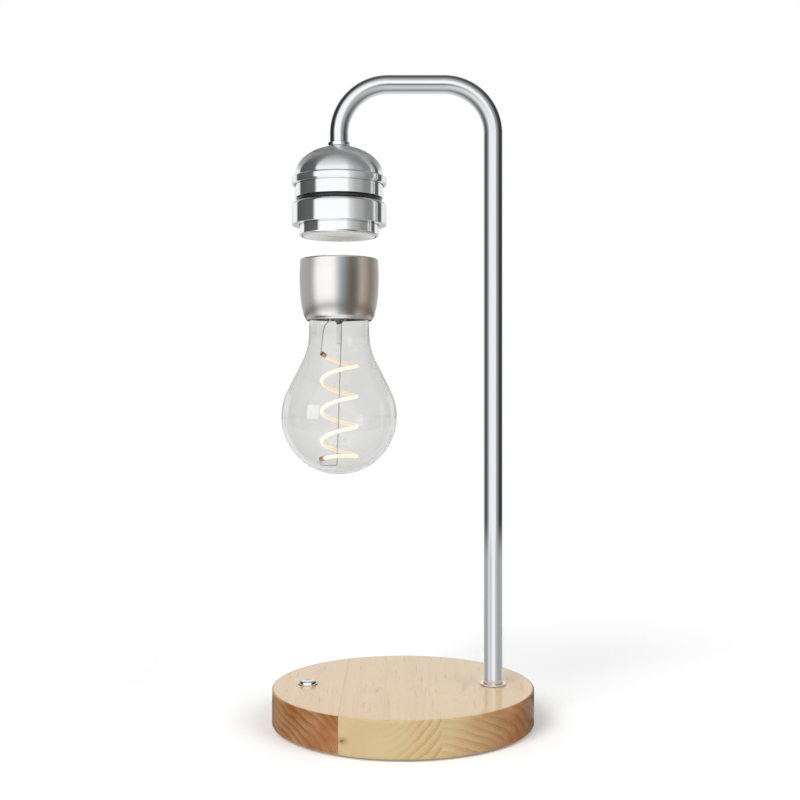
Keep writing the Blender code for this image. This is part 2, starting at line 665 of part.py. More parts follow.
def build_supply(board_green, nylon, screw_steel, black):
    """The supply board under the wood with what is soldered to it, and the inlet at its rear edge."""
    size = (BOARD_WIDTH, BOARD_DEPTH, BOARD_THICKNESS)
    board = add("power_board", block(size, (0, BOARD_MIDDLE, BOARD_TOP - BOARD_THICKNESS / 2)), board_green)
    hole_diameter = SMALL_SCREW_DIAMETER + 2 * GAP
    hole = rod(hole_diameter, BOARD_BOTTOM - OVERRUN, CEILING, SMALL_STEPS)
    cut(board, "board_screw_hole", hole, BOARD_SCREW_PLACE)
    outline = plain_ring(SPACER_DIAMETER, hole_diameter, BOARD_TOP + GAP, CEILING - GAP)
    add("board_spacer", turned(outline, SMALL_STEPS, ring=True), nylon, BOARD_SCREW_PLACE)
    outline = screw_outline(
        SMALL_SCREW_DIAMETER, SMALL_SCREW_HEAD_DIAMETER, SMALL_SCREW_HEAD_HEIGHT, BOARD_BOTTOM - GAP,
        CEILING + SMALL_SCREW_BITE,
    )
    add("board_screw", turned(outline, SMALL_STEPS), screw_steel, BOARD_SCREW_PLACE)

    sunk = BOARD_TOP - BOARD_THICKNESS / 2
    side = BOARD_WIDTH / 2 - COMPONENT_EDGE
    coil_top = BOARD_TOP + INDUCTOR_HEIGHT
    coil_size = (INDUCTOR_WIDTH, INDUCTOR_WIDTH, coil_top - sunk)
    coil = block(coil_size, (-side, BOARD_MIDDLE, (coil_top + sunk) / 2))
    cut(board, "inductor", coil, operation="UNION")
    can = rod(CAPACITOR_DIAMETER, sunk, BOARD_TOP + SUPPLY_CAPACITOR_HEIGHT, SMALL_STEPS)
    cut(board, "capacitor", can, (side, BOARD_MIDDLE), "UNION")

    middle = ((INLET_FRONT + INLET_BACK) / 2, (INLET_TOP + INLET_BOTTOM) / 2)
    inlet = add("dc_inlet", block((INLET_WIDTH, INLET_LENGTH, INLET_HEIGHT), (0, *middle)), black)
    lay = Matrix.Translation((0, 0, INLET_AXIS_HEIGHT)) @ Matrix.Rotation(-pi / 2, 4, "X")
    bore_end = INLET_FRONT - INLET_BORE_DEPTH
    bore = rod(INLET_BORE_DIAMETER, bore_end, INLET_FRONT + OVERRUN, RING_STEPS)
    bore.transform(lay)
    cut(inlet, "inlet_bore", bore)
    pin = rod(INLET_PIN_DIAMETER, bore_end - OVERRUN, bore_end + INLET_PIN_LENGTH, SMALL_STEPS)
    pin.transform(lay)
    cut(inlet, "inlet_pin", pin, operation="UNION")


def helix(radius, bottom, top, turns, points_per_turn):
    """Points that climb evenly round the Z axis."""
    share = np.linspace(0, 1, turns * points_per_turn + 1)
    angle = 2 * pi * turns * share
    return np.stack([radius * np.cos(angle), radius * np.sin(angle), bottom + (top - bottom) * share], axis=1)


def build_button(axle, chrome, spring_steel, nylon, black, board_green, screw_steel):
    """The push button, its return spring, and the holder that carries its switch."""
    radius = BUTTON_DIAMETER / 2
    stem = BUTTON_STEM_DIAMETER / 2
    groove = BUTTON_GROOVE_DIAMETER / 2
    outline = [(0, BUTTON_TOP)]
    outline += arc((radius - BUTTON_ROUNDING, BUTTON_TOP - BUTTON_ROUNDING), BUTTON_ROUNDING, 90, 0, 2)
    outline += [
        (radius, BUTTON_BOTTOM),
        (stem, BUTTON_BOTTOM),
        (stem, CLIP_TOP + GAP),
        (groove, CLIP_TOP + GAP),
        (groove, CLIP_BOTTOM - GAP),
        (stem, CLIP_BOTTOM - GAP),
        (stem, STEM_END),
        (0, STEM_END),
    ]
    add("button_cap", turned(outline, RING_STEPS), chrome, axle=axle)
    outline = plain_ring(CLIP_DIAMETER, BUTTON_GROOVE_DIAMETER + 2 * GAP, CLIP_BOTTOM, CLIP_TOP)
    add("button_clip", turned(outline, SMALL_STEPS, ring=True), spring_steel, axle=axle)
    wire = SPRING_WIRE / 2
    rings = helix(
        (SPRING_DIAMETER - SPRING_WIRE) / 2, HOLDER_TOP + GAP + wire, BUTTON_BOTTOM - GAP - wire,
        SPRING_TURNS, SPRING_POINTS_PER_TURN,
    )
    print(f"button_spring: least gap to itself {1000 * self_gap(rings, SPRING_WIRE):.2f} mm")
    add("button_spring", tube(rings, SPRING_WIRE, 1), spring_steel, axle=axle)

    outer = HOLDER_DIAMETER / 2
    hole = stem + GAP
    skirt = HOLDER_SKIRT_DIAMETER / 2
    outline = [
        (outer, HOLDER_TOP),
        (outer, HOLDER_BOTTOM),
        (skirt, HOLDER_BOTTOM),
        (skirt, SWITCH_BOTTOM),
        (skirt - HOLDER_SKIRT_WALL, SWITCH_BOTTOM),
        (skirt - HOLDER_SKIRT_WALL, HOLDER_BOTTOM),
        (hole, HOLDER_BOTTOM),
        (hole, HOLDER_TOP),
    ]
    holder = add("button_holder", turned(outline, INNER_STEPS, ring=True), nylon, BUTTON_PLACE)
    disc = turned(plain_disc(HOLDER_DIAMETER, SWITCH_BOARD_BOTTOM, SWITCH_BOARD_TOP), INNER_STEPS)
    board = add("switch_board", disc, board_green, BUTTON_PLACE)
    hole_bottom = SWITCH_BOARD_BOTTOM - OVERRUN
    hole = rod(SMALL_SCREW_DIAMETER + 2 * GAP, hole_bottom, HOLDER_TOP + OVERRUN, SMALL_STEPS)
    cut(holder, "holder_screw_holes", copies(hole, switch_screw_places()))
    cut(board, "switch_screw_holes", copies(hole, switch_screw_places()))
    outline = screw_outline(
        SMALL_SCREW_DIAMETER, SMALL_SCREW_HEAD_DIAMETER, SMALL_SCREW_HEAD_HEIGHT, SWITCH_BOARD_BOTTOM - GAP,
        CEILING + SMALL_SCREW_BITE,
    )
    add_each("switch_screw", turned(outline, SMALL_STEPS), screw_steel, switch_screw_places())
    body = block((SWITCH_WIDTH, SWITCH_WIDTH, SWITCH_HEIGHT), (0, 0, SWITCH_BOTTOM + SWITCH_HEIGHT / 2))
    switch = add("button_switch", body, black, BUTTON_PLACE)
    plunger = rod(SWITCH_PLUNGER_DIAMETER, SWITCH_BOTTOM + SWITCH_HEIGHT / 2, PLUNGER_TOP, SMALL_STEPS)
    cut(switch, "switch_plunger", plunger, BUTTON_PLACE, "UNION")


def self_gap(points, diameter):
    """The least gap between stretches of a wound tube that are more than half a turn apart along it."""
    points = np.asarray(points)
    steps = np.linalg.norm(np.diff(points, axis=0), axis=1)
    along = np.concatenate([[0], np.cumsum(steps)])
    apart = np.linalg.norm(points[:, None] - points[None], axis=2)
    loop = pi * (points[:, 0].max() - points[:, 0].min())
    return apart[np.abs(along[:, None] - along[None]) > loop / 2].min() - diameter


def smooth_route(start, start_pull, end, end_pull, count):
    """Points of a curve that leaves one place along a pull and comes to the other against its pull."""
    start, end = Vector(start), Vector(end)
    share = np.linspace(0, 1, count)[:, None]
    legs = [np.array(v) for v in (start, start + Vector(start_pull), end + Vector(end_pull), end)]
    weights = [(1 - share) ** 3, 3 * share * (1 - share) ** 2, 3 * share**2 * (1 - share), share**3]
    return sum(weight * leg for weight, leg in zip(weights, legs))


def bend_points(centre_x, centre_z, start, end, steps):
    """Points round a bend in the plane of the arm, between two angles in degrees."""
    angles = np.radians(np.linspace(start, end, steps + 1))
    x = centre_x + BEND_RADIUS * np.cos(angles)
    z = centre_z + BEND_RADIUS * np.sin(angles)
    return np.stack([x, np.zeros_like(x), z], axis=1)


def arm_line(lower_end, upper_end, steps):
    """The middle line of the tube, from the post's foot over both bends to the head."""
    level = ARM_LEVEL - BEND_RADIUS
    right = bend_points(POST_REACH - BEND_RADIUS, level, 0, 90, steps)
    left = bend_points(BEND_RADIUS - HEAD_REACH, level, 90, 180, steps)
    return np.concatenate([[(POST_REACH, 0, lower_end)], right, left, [(-HEAD_REACH, 0, upper_end)]])


def evenly_spaced(points, spacing):
    """The same route with points at equal distances along it."""
    steps = np.linalg.norm(np.diff(points, axis=0), axis=1)
    keep = np.concatenate([[True], steps > MERGE_DISTANCE])
    points = np.asarray(points)[keep]
    along = np.concatenate([[0], np.cumsum(np.linalg.norm(np.diff(points, axis=0), axis=1))])
    marks = np.linspace(0, along[-1], ceil(along[-1] / spacing) + 1)
    return np.stack([np.interp(marks, along, points[:, axis]) for axis in range(3)], axis=1)


def build_arm(tube_steel, chrome, screw_steel, cable_black):
    """The bent tube, what clamps it to the base, and the cable inside it."""
    line = arm_line(TUBE_LOWER_END, TUBE_UPPER_END, BEND_STEPS)
    add("arm_tube", tube(line, TUBE_DIAMETER, TUBE_SIDE_RESOLUTION, TUBE_WALL), tube_steel)

    hole = TUBE_HOLE
    radius = FLANGE_DIAMETER / 2
    top = FLANGE_BOTTOM + FLANGE_HEIGHT
    outline = [(radius - FLANGE_BEVEL, top), (radius, top - FLANGE_BEVEL), (radius, FLANGE_BOTTOM)]
    outline += [(hole / 2, FLANGE_BOTTOM), (hole / 2, top)]
    add("post_flange", turned(outline, RING_STEPS, ring=True), chrome, POST_PLACE)
    washer_top = POST_WASHER_BOTTOM + WASHER_THICKNESS
    outline = plain_ring(POST_WASHER_DIAMETER, hole, POST_WASHER_BOTTOM, washer_top)
    add("post_washer", turned(outline, INNER_STEPS, ring=True), screw_steel, POST_PLACE)
    nut_top = POST_NUT_BOTTOM + POST_NUT_HEIGHT
    nut = add("post_nut", hexagon_nut(POST_NUT_ACROSS, POST_NUT_BOTTOM, nut_top), screw_steel, POST_PLACE)
    cut(nut, "post_nut_hole", rod(hole, POST_NUT_BOTTOM - OVERRUN, nut_top + OVERRUN, RING_STEPS), POST_PLACE)

    radius = CABLE_DIAMETER / 2
    level = PLATE_TOP + GAP + radius
    turn_x = POST_REACH - CABLE_BEND_RADIUS
    angles = np.radians(np.linspace(-90, 0, CABLE_BEND_STEPS + 1))
    bend = CABLE_BEND_RADIUS
    turn = [(turn_x + bend * cos(a), 0, level + bend * (1 + sin(a))) for a in angles]
    front = BOARD_MIDDLE - BOARD_DEPTH / 2 - GAP
    start = (0, front - radius, BOARD_BOTTOM)
    spacing = CABLE_STEP_SHARE * CABLE_DIAMETER
    in_base = smooth_route(start, (0, -front / 2, 0), turn[0], (-front, 0, 0), CABLE_ROUTE_POINTS)
    in_tube = evenly_spaced(arm_line(turn[-1][2], DRIVER_BOARD_TOP + GAP, 4 * BEND_STEPS), spacing)
    route = np.concatenate([evenly_spaced(in_base, spacing), turn[1:], in_tube[1:]])
    add("arm_cable", tube(route, CABLE_DIAMETER, 1), cable_black)


def build_switch_lead(lead_red):
    """The lead from the switch board to the supply board."""
    radius = SWITCH_LEAD_DIAMETER / 2
    lift = GAP + radius
    start = (-BUTTON_REACH + SWITCH_SCREW_REACH, 0, SWITCH_BOARD_TOP + lift)
    end = (-BOARD_WIDTH / 2 + SWITCH_LEAD_EDGE, BOARD_MIDDLE, BOARD_TOP + lift)
    pull = SWITCH_LEAD_PULL_SHARE * BUTTON_REACH
    route = smooth_route(start, (pull, 0, 0), end, (-pull, 0, 0), SWITCH_LEAD_POINTS)
    add("switch_lead", tube(route, SWITCH_LEAD_DIAMETER, 1), lead_red)


def dome_arc(half_width, rise, hole, steps):
    """Points of the dome's ellipse from the edge of the tube's hole down to its widest."""
    start = acos(hole / half_width)
    angles = np.linspace(start, 0, steps + 1)
    return [(half_width * cos(angle), DOME_LEVEL + rise * sin(angle)) for angle in angles]


def build_head_shells(chrome, rubber, white, screw_steel):
    """The polished shells of the head, from the collar down to the white disc."""
    hole = TUBE_HOLE / 2
    radius = COLLAR_DIAMETER / 2
    outline = [(radius - COLLAR_BEVEL, COLLAR_TOP), (radius, COLLAR_TOP - COLLAR_BEVEL)]
    outline += [(radius, COLLAR_BOTTOM), (hole, COLLAR_BOTTOM), (hole, COLLAR_TOP)]
    add("head_collar", turned(outline, RING_STEPS, ring=True), chrome, HEAD_PLACE)

    lip = LIP_DIAMETER / 2
    barrel = BARREL_DIAMETER / 2
    outline = dome_arc(DOME_DIAMETER / 2, DOME_RISE, hole, DOME_STEPS)
    outline += arc((lip - LIP_ROUNDING, DOME_LEVEL - LIP_ROUNDING - LIP_EDGE), LIP_ROUNDING, 80, 0, 3)
    outline += [
        (lip, LIP_BOTTOM + LIP_EDGE),
        (lip - LIP_EDGE, LIP_BOTTOM),
        (barrel + GAP, LIP_BOTTOM),
        (barrel + GAP, LIP_BOTTOM + LIP_SEAT),
        (DOME_INNER_RADIUS, LIP_BOTTOM + LIP_SEAT),
    ]
    outline += dome_arc(DOME_INNER_RADIUS, DOME_INNER_RISE, hole, DOME_INNER_STEPS)[::-1]
    add("head_dome", turned(outline, HEAD_STEPS, ring=True), chrome, HEAD_PLACE)

    flange_hole = FLANGE_HOLE / 2
    outline = [
        (barrel, BARREL_TOP),
        (barrel, BARREL_BOTTOM),
        (flange_hole, BARREL_BOTTOM),
        (flange_hole, BARREL_BOTTOM + BARREL_FLANGE),
        (barrel - BARREL_WALL, BARREL_BOTTOM + BARREL_FLANGE),
        (barrel - BARREL_WALL, BARREL_TOP),
    ]
    shell = add("head_barrel", turned(outline, HEAD_STEPS, ring=True), chrome, HEAD_PLACE)
    screw_places = circle_places(HEAD_SCREW_COUNT, HEAD_SCREW_REACH, pi / 2)
    screw_tip = BARREL_BOTTOM + BARREL_FLANGE
    hole_bottom = BAND_TOP - BAND_WALL - OVERRUN
    hole = rod(SMALL_SCREW_DIAMETER + 2 * GAP, hole_bottom, screw_tip + OVERRUN, SMALL_STEPS)
    cut(shell, "barrel_screw_holes", copies(hole, screw_places), HEAD_PLACE)

    outline = plain_ring(RING_DIAMETER, RING_DIAMETER - 2 * RING_WIDTH, RING_BOTTOM, RING_TOP)
    add("head_ring", turned(outline, HEAD_STEPS, ring=True), rubber, HEAD_PLACE)

    band = BAND_DIAMETER / 2
    inner = band - BAND_WALL
    cup = CUP_DIAMETER / 2
    outline = arc((band - BAND_SHOULDER, BAND_TOP - BAND_SHOULDER), BAND_SHOULDER, 90, 0, 4)
    outline += [
        (band, BAND_BOTTOM + BAND_LOWER_BEVEL),
        (band - BAND_LOWER_BEVEL, BAND_BOTTOM),
        (cup + GAP, BAND_BOTTOM),
        (cup + GAP, BAND_BOTTOM + BAND_WALL),
        (inner, BAND_BOTTOM + BAND_WALL),
        (inner, BAND_TOP - BAND_SHOULDER),
        (inner - BAND_SHOULDER + BAND_WALL, BAND_TOP - BAND_WALL),
        (flange_hole, BAND_TOP - BAND_WALL),
        (flange_hole, BAND_TOP),
    ]
    shell = add("head_band", turned(outline, HEAD_STEPS, ring=True), chrome, HEAD_PLACE)
    cut(shell, "band_screw_holes", copies(hole, screw_places), HEAD_PLACE)
    outline = screw_outline(
        SMALL_SCREW_DIAMETER, SMALL_SCREW_HEAD_DIAMETER, SMALL_SCREW_HEAD_HEIGHT, BAND_TOP - BAND_WALL - GAP,
        screw_tip,
    )
    add_each("head_screw", turned(outline, SMALL_STEPS), screw_steel, screw_places, HEAD_PLACE)

    rim = cup - CUP_RIM
    flange_bottom = BAND_BOTTOM + BAND_WALL + GAP
    flange_top = flange_bottom + CUP_WALL
    outline = [(cup + CUP_FLANGE, flange_top), (cup + CUP_FLANGE, flange_bottom), (cup, flange_bottom)]
    outline += arc((cup - CUP_ROUNDING, FACE + CUP_ROUNDING), CUP_ROUNDING, 0, -90, 3)
    outline += [
        (rim, FACE),
        (rim, DISC_SEAT),
        (rim - CUP_SEAT_WIDTH, DISC_SEAT),
        (rim - CUP_SEAT_WIDTH, DISC_SEAT + CUP_SEAT_WIDTH),
        (cup - CUP_WALL, DISC_SEAT + CUP_SEAT_WIDTH),
        (cup - CUP_WALL, flange_top),
    ]
    add("head_cup", turned(outline, HEAD_STEPS, ring=True), chrome, HEAD_PLACE)
    disc = turned(plain_disc(2 * DISC_RADIUS, FACE, FACE + DISC_THICKNESS), HEAD_STEPS)
    add("head_disc", disc, white, HEAD_PLACE)


def build_head_works(screw_steel, nylon, copper, iron, steel, board_green):
    """The nut that holds the head, the electromagnet, the power coil and the boards."""
    hole = TUBE_HOLE
    washer_bottom = HEAD_WASHER_TOP - WASHER_THICKNESS
    outline = plain_ring(HEAD_WASHER_DIAMETER, hole, washer_bottom, HEAD_WASHER_TOP)
    add("head_washer", turned(outline, INNER_STEPS, ring=True), screw_steel, HEAD_PLACE)
    nut_bottom = HEAD_NUT_TOP - HEAD_NUT_HEIGHT
    nut = hexagon_nut(HEAD_NUT_ACROSS, nut_bottom, HEAD_NUT_TOP)
    nut = add("head_lock_nut", nut, screw_steel, HEAD_PLACE)
    cut(nut, "lock_nut_hole", rod(hole, nut_bottom - OVERRUN, HEAD_NUT_TOP + OVERRUN, RING_STEPS), HEAD_PLACE)

    chassis = turned(plain_disc(BARREL_DIAMETER, CHASSIS_BOTTOM, CHASSIS_TOP), RING_STEPS)
    chassis = add("chassis_plate", chassis, steel, HEAD_PLACE)
    screw_hole = CORE_SCREW_DIAMETER + 2 * GAP
    drill = rod(screw_hole, CHASSIS_BOTTOM - CORE_SCREW_BITE - GAP, CHASSIS_TOP + OVERRUN, SMALL_STEPS)
    cut(chassis, "chassis_screw_hole", drill, HEAD_PLACE)
    post_bottom = CHASSIS_BOTTOM + CHASSIS_THICKNESS / 2
    post = rod(DRIVER_POST_DIAMETER, post_bottom, DRIVER_BOARD_BOTTOM - GAP, SMALL_STEPS)
    posts = copies(post, circle_places(DRIVER_POST_COUNT, DRIVER_POST_REACH, pi / 2))
    cut(chassis, "driver_posts", posts, HEAD_PLACE, "UNION")
    core_top = CHASSIS_BOTTOM - GAP
    core = turned(plain_disc(CORE_DIAMETER, BOBBIN_BOTTOM, core_top), INNER_STEPS)
    cut(add("coil_core", core, iron, HEAD_PLACE), "core_screw_hole", drill, HEAD_PLACE)
    head_bottom = CHASSIS_TOP + GAP
    head_top = head_bottom + CORE_SCREW_HEAD_HEIGHT
    outline = [
        (0, head_top),
        (CORE_SCREW_HEAD_DIAMETER / 2, head_top),
        (CORE_SCREW_HEAD_DIAMETER / 2, head_bottom),
        (CORE_SCREW_DIAMETER / 2, head_bottom),
        (CORE_SCREW_DIAMETER / 2, CHASSIS_BOTTOM - CORE_SCREW_BITE),
        (0, CHASSIS_BOTTOM - CORE_SCREW_BITE),
    ]
    add("core_screw", turned(outline, SMALL_STEPS), screw_steel, HEAD_PLACE)

    flange = BOBBIN_DIAMETER / 2
    bore = CORE_DIAMETER / 2 + GAP
    barrel = bore + BOBBIN_WALL
    lower = BOBBIN_BOTTOM + BOBBIN_FLANGE
    upper = BOBBIN_TOP - BOBBIN_FLANGE
    outline = [
        (flange, BOBBIN_TOP),
        (flange, upper),
        (barrel, upper),
        (barrel, lower),
        (flange, lower),
        (flange, BOBBIN_BOTTOM),
        (bore, BOBBIN_BOTTOM),
        (bore, BOBBIN_TOP),
    ]
    add("coil_bobbin", turned(outline, INNER_STEPS, ring=True), nylon, HEAD_PLACE)
    outline = plain_ring(COIL_DIAMETER, 2 * (barrel + GAP), lower + GAP, upper - GAP)
    add("levitation_coil", turned(outline, INNER_STEPS, ring=True), copper, HEAD_PLACE)

    coil_top = POWER_COIL_BOTTOM + POWER_COIL_THICKNESS
    outline = plain_ring(2 * DISC_RADIUS, POWER_COIL_HOLE, POWER_COIL_BOTTOM, coil_top)
    add("transmitter_coil", turned(outline, INNER_STEPS, ring=True), copper, HEAD_PLACE)
    outline = plain_disc(2 * DISC_RADIUS, SENSOR_BOARD_BOTTOM, SENSOR_BOARD_BOTTOM + SENSOR_BOARD_THICKNESS)
    add("sensor_board", turned(outline, INNER_STEPS), board_green, HEAD_PLACE)

    outline = plain_disc(DRIVER_BOARD_DIAMETER, DRIVER_BOARD_BOTTOM, DRIVER_BOARD_TOP)
    driver_board = add("driver_board", turned(outline, INNER_STEPS), board_green, HEAD_PLACE)
    sunk = DRIVER_BOARD_TOP - BOARD_THICKNESS / 2
    can = rod(CAPACITOR_DIAMETER, sunk, DRIVER_BOARD_TOP + DRIVER_CAPACITOR_HEIGHT, SMALL_STEPS)
    cut(driver_board, "driver_capacitor", can, (DRIVER_CAPACITOR_REACH - HEAD_REACH, 0), "UNION")
    chip_top = DRIVER_BOARD_TOP + DRIVER_CHIP_HEIGHT
    chip_size = (DRIVER_CHIP_WIDTH, DRIVER_CHIP_WIDTH, chip_top - sunk)
    chip = block(chip_size, (-DRIVER_CHIP_REACH, 0, (chip_top + sunk) / 2))
    cut(driver_board, "driver_chip", chip, HEAD_PLACE, "UNION")


def cap_outline():
    """The outer line of the bulb's cap from its top corner down to the rolled lip."""
    top = CAP_TOP_DIAMETER / 2
    points = arc((top - CAP_CORNER_ROUNDING, CAP_TOP - CAP_CORNER_ROUNDING), CAP_CORNER_ROUNDING, 90, 0, 3)
    points += [
        (CAP_DIAMETER / 2, CAP_TOP - CAP_WIDEST_SHARE * CAP_HEIGHT),
        (CAP_TAPER_DIAMETER / 2, CAP_TOP - CAP_TAPER_SHARE * CAP_HEIGHT),
        (CAP_LOWER_DIAMETER / 2, CAP_TOP - CAP_SHOULDER_SHARE * CAP_HEIGHT),
        (CAP_LIP_DIAMETER / 2, CAP_BOTTOM),
    ]
    return points


def build_cap(axle, aluminium, white, copper, nylon, board_green):
    """The bulb's metal cap and the parts inside it that turn with the bulb."""
    outer = cap_outline()
    bore = INSERT_RADIUS + GAP
    inner = [
        (CAP_MOUTH_DIAMETER / 2, CAP_BOTTOM),
        (CAP_MOUTH_DIAMETER / 2, CAP_BOTTOM + CAP_WALL),
        (CAP_LOWER_DIAMETER / 2 - CAP_WALL, CAP_TOP - CAP_SHOULDER_SHARE * CAP_HEIGHT + CAP_WALL),
        (bore, CAP_TOP - CAP_TAPER_SHARE * CAP_HEIGHT),
        (bore, CAP_TOP),
    ]
    add("bulb_cap", turned(outer + inner, HEAD_STEPS, ring=True), aluminium, axle=axle)
    lid = plain_disc(2 * INSERT_RADIUS, LID_BOTTOM, CAP_TOP)
    add("cap_lid", turned(lid, HEAD_STEPS), white, axle=axle)
    coil_top = PICKUP_COIL_BOTTOM + POWER_PICKUP_THICKNESS
    outline = plain_ring(2 * INSERT_RADIUS, POWER_PICKUP_HOLE, PICKUP_COIL_BOTTOM, coil_top)
    add("receiver_coil", turned(outline, INNER_STEPS, ring=True), copper, axle=axle)

    floor = MAGNET_HOLDER_BOTTOM + HOLDER_FLOOR
    nest = MAGNET_DIAMETER / 2 + GAP
    nest_top = floor + GAP + MAGNET_HEIGHT
    outline = [
        (0, floor),
        (nest, floor),
        (nest, nest_top),
        (nest + HOLDER_WALL, nest_top),
        (nest + HOLDER_WALL, floor),
        (INSERT_RADIUS - HOLDER_WALL, floor),
        (INSERT_RADIUS - HOLDER_WALL, MAGNET_HOLDER_TOP),
        (INSERT_RADIUS, MAGNET_HOLDER_TOP),
        (INSERT_RADIUS, MAGNET_HOLDER_BOTTOM),
        (0, MAGNET_HOLDER_BOTTOM),
    ]
    add("magnet_holder", turned(outline, INNER_STEPS), nylon, axle=axle)
    board = plain_disc(PICKUP_BOARD_DIAMETER, PICKUP_BOARD_BOTTOM, PICKUP_BOARD_TOP)
    add("receiver_board", turned(board, INNER_STEPS), board_green, axle=axle)


def build_magnet(axle, magnet_nickel):
    """The round magnet by which the field carries the bulb."""
    bottom = MAGNET_HOLDER_BOTTOM + HOLDER_FLOOR + GAP
    outline = plain_disc(MAGNET_DIAMETER, bottom, bottom + MAGNET_HEIGHT)
    add("bulb_magnet", turned(outline, INNER_STEPS), magnet_nickel, axle=axle)


def glass_line(inset):
    """One side of the glass, from the neck's mouth to the lowest point, set in from the outside.

    A straight neck runs by an arc into a cone, and the cone touches the ball.
    """
    neck = NECK_DIAMETER / 2 - inset
    fillet = NECK_FILLET + inset
    ball = GLASS_DIAMETER / 2 - inset
    outer_ball = GLASS_DIAMETER / 2
    cone_top_radius = NECK_DIAMETER / 2 + NECK_FILLET * (1 - cos(SHOULDER_ANGLE))
    cone_drop = (outer_ball * cos(SHOULDER_ANGLE) - cone_top_radius) / tan(SHOULDER_ANGLE)
    cone_top = NECK_START - NECK_FILLET * sin(SHOULDER_ANGLE)
    ball_height = cone_top - cone_drop - outer_ball * sin(SHOULDER_ANGLE)
    turn = SHOULDER_ANGLE * 180 / pi
    line = arc((neck + fillet, NECK_START), fillet, 180, 180 + turn, NECK_FILLET_STEPS)
    line += arc((0, ball_height), ball, turn, -90, GLASS_BALL_STEPS)
    return [(neck, NECK_TOP)] + line


def stem_line():
    """The glass stem: a funnel fused to the neck, pinched to a rod that points down."""
    rim = NECK_DIAMETER / 2 - GLASS_WALL - GAP
    pinch = STEM_PINCH_DIAMETER / 2
    rod_radius = STEM_ROD_DIAMETER / 2
    flare_top = STEM_LIP + STEM_FLARE_HEIGHT
    pinch_level = STEM_LIP - STEM_PINCH_DROP + STEM_FLARE_HEIGHT
    rod_end = pinch_level - pinch - STEM_ROD_LENGTH
    return [
        (0, pinch_level + STEM_FLARE_WALL),
        (pinch, pinch_level + STEM_FLARE_HEIGHT / 2),
        (rim - STEM_FLARE_WALL, flare_top),
        (rim, flare_top),
        (rim, flare_top - STEM_FLARE_WALL),
        (pinch + STEM_FLARE_WALL, pinch_level + STEM_FLARE_WALL),
        (pinch, pinch_level - STEM_FLARE_WALL),
        (rod_radius, pinch_level - pinch),
        (rod_radius, rod_end + rod_radius),
        (rod_radius / 2, rod_end + rod_radius / 4),
        (0, rod_end),
    ]


def filament_line():
    """Points of the spiral, top to bottom, about the bulb's axis.

    The turns lean by a fixed share of their depth, start partway round at the left and end there. The part
    after the last full turn runs nearly level.
    """
    first = -FILAMENT_END_TURN_SHARE
    last = FILAMENT_TURNS + FILAMENT_END_TURN_SHARE
    turns = np.linspace(first, last, round((last - first) * FILAMENT_POINTS_PER_TURN) + 1)
    angle = 2 * pi * turns
    x = FILAMENT_TURN_RADIUS * np.cos(angle)
    y = -FILAMENT_TURN_RADIUS * np.sin(angle)
    even = np.minimum(turns, FILAMENT_TURNS)
    drop = FILAMENT_PITCH * even + FILAMENT_LAST_PITCH * (turns - even)
    return np.stack([x, y, FILAMENT_LEVEL - drop - FILAMENT_TILT_SHARE * y], axis=1)


def beyond(end, before, distance):
    """The point this far past the end of a line that comes from a point before it."""
    end, before = Vector(end), Vector(before)
    return end + (end - before).normalized() * distance


def build_bulb(axle, clear_glass, wire_nickel, glow, brass):
    """The glass, its stem, the spiral filament with its end clips, and the wires that carry it."""
    mesh = turned(glass_line(GLASS_WALL)[::-1] + glass_line(0), GLASS_STEPS)
    add("glass_envelope", mesh, clear_glass, axle=axle)
    stem = stem_line()
    add("glass_stem", turned(stem, INNER_STEPS), clear_glass, axle=axle)

    line = filament_line()
    print(f"filament: least gap to itself {1000 * self_gap(line, FILAMENT_DIAMETER):.2f} mm")
    add("filament", tube(line, FILAMENT_DIAMETER, 1), glow, axle=axle)
    clips = []
    for end, before in ((line[0], line[1]), (line[-1], line[-2])):
        near = beyond(end, before, GAP)
        far = beyond(end, before, GAP + FILAMENT_CLIP_LENGTH)
        clips.append((near, far))
    for name, clip in zip(("filament_clip_top", "filament_clip_bottom"), clips):
        add(name, tube(clip, FILAMENT_CLIP_DIAMETER, 2), brass, axle=axle)

    wire = WIRE_DIAMETER / 2
    pinch, pinch_level = stem[6]
    top_clip = beyond(clips[0][1], clips[0][0], GAP + wire)
    bend_level = pinch_level - LEAD_BEND_DROP
    lead_start = (-pinch - wire - GAP, 0, pinch_level)
    lead = [lead_start, (-pinch - wire - GAP, 0, pinch_level - STEM_FLARE_WALL)]
    lead += [(-LEAD_REACH, 0, bend_level), tuple(top_clip)]
    add("lead_wire", tube(lead, WIRE_DIAMETER, 1), wire_nickel, axle=axle)

    low_clip = beyond(clips[1][1], clips[1][0], GAP + wire)
    hook_level = low_clip.z - CENTRE_WIRE_HOOK_DROP
    shoulder_level = stem[7][1] - wire - GAP
    start = (CENTRE_WIRE_TOP_OFFSET, -CENTRE_WIRE_FRONT, shoulder_level)
    hook = (-CENTRE_WIRE_LOWER_OFFSET, 0, hook_level)
    centre = [start, hook, (low_clip.x, low_clip.y, hook_level), tuple(low_clip)]
    add("centre_wire", tube(centre, WIRE_DIAMETER, 1), wire_nickel, axle=axle)


def joint_axis(name, place):
    """An empty on a joint's axis, which the pieces that move together hang from."""
    empty = bpy.data.objects.new(name, None)
    empty.location = (*place, 0)
    lamp.objects.link(empty)
    return empty


for old in list(bpy.data.objects):
    bpy.data.objects.remove(old, do_unlink=True)

lamp = new_collection("levitating_table_lamp")
cutters = new_collection("cutters")

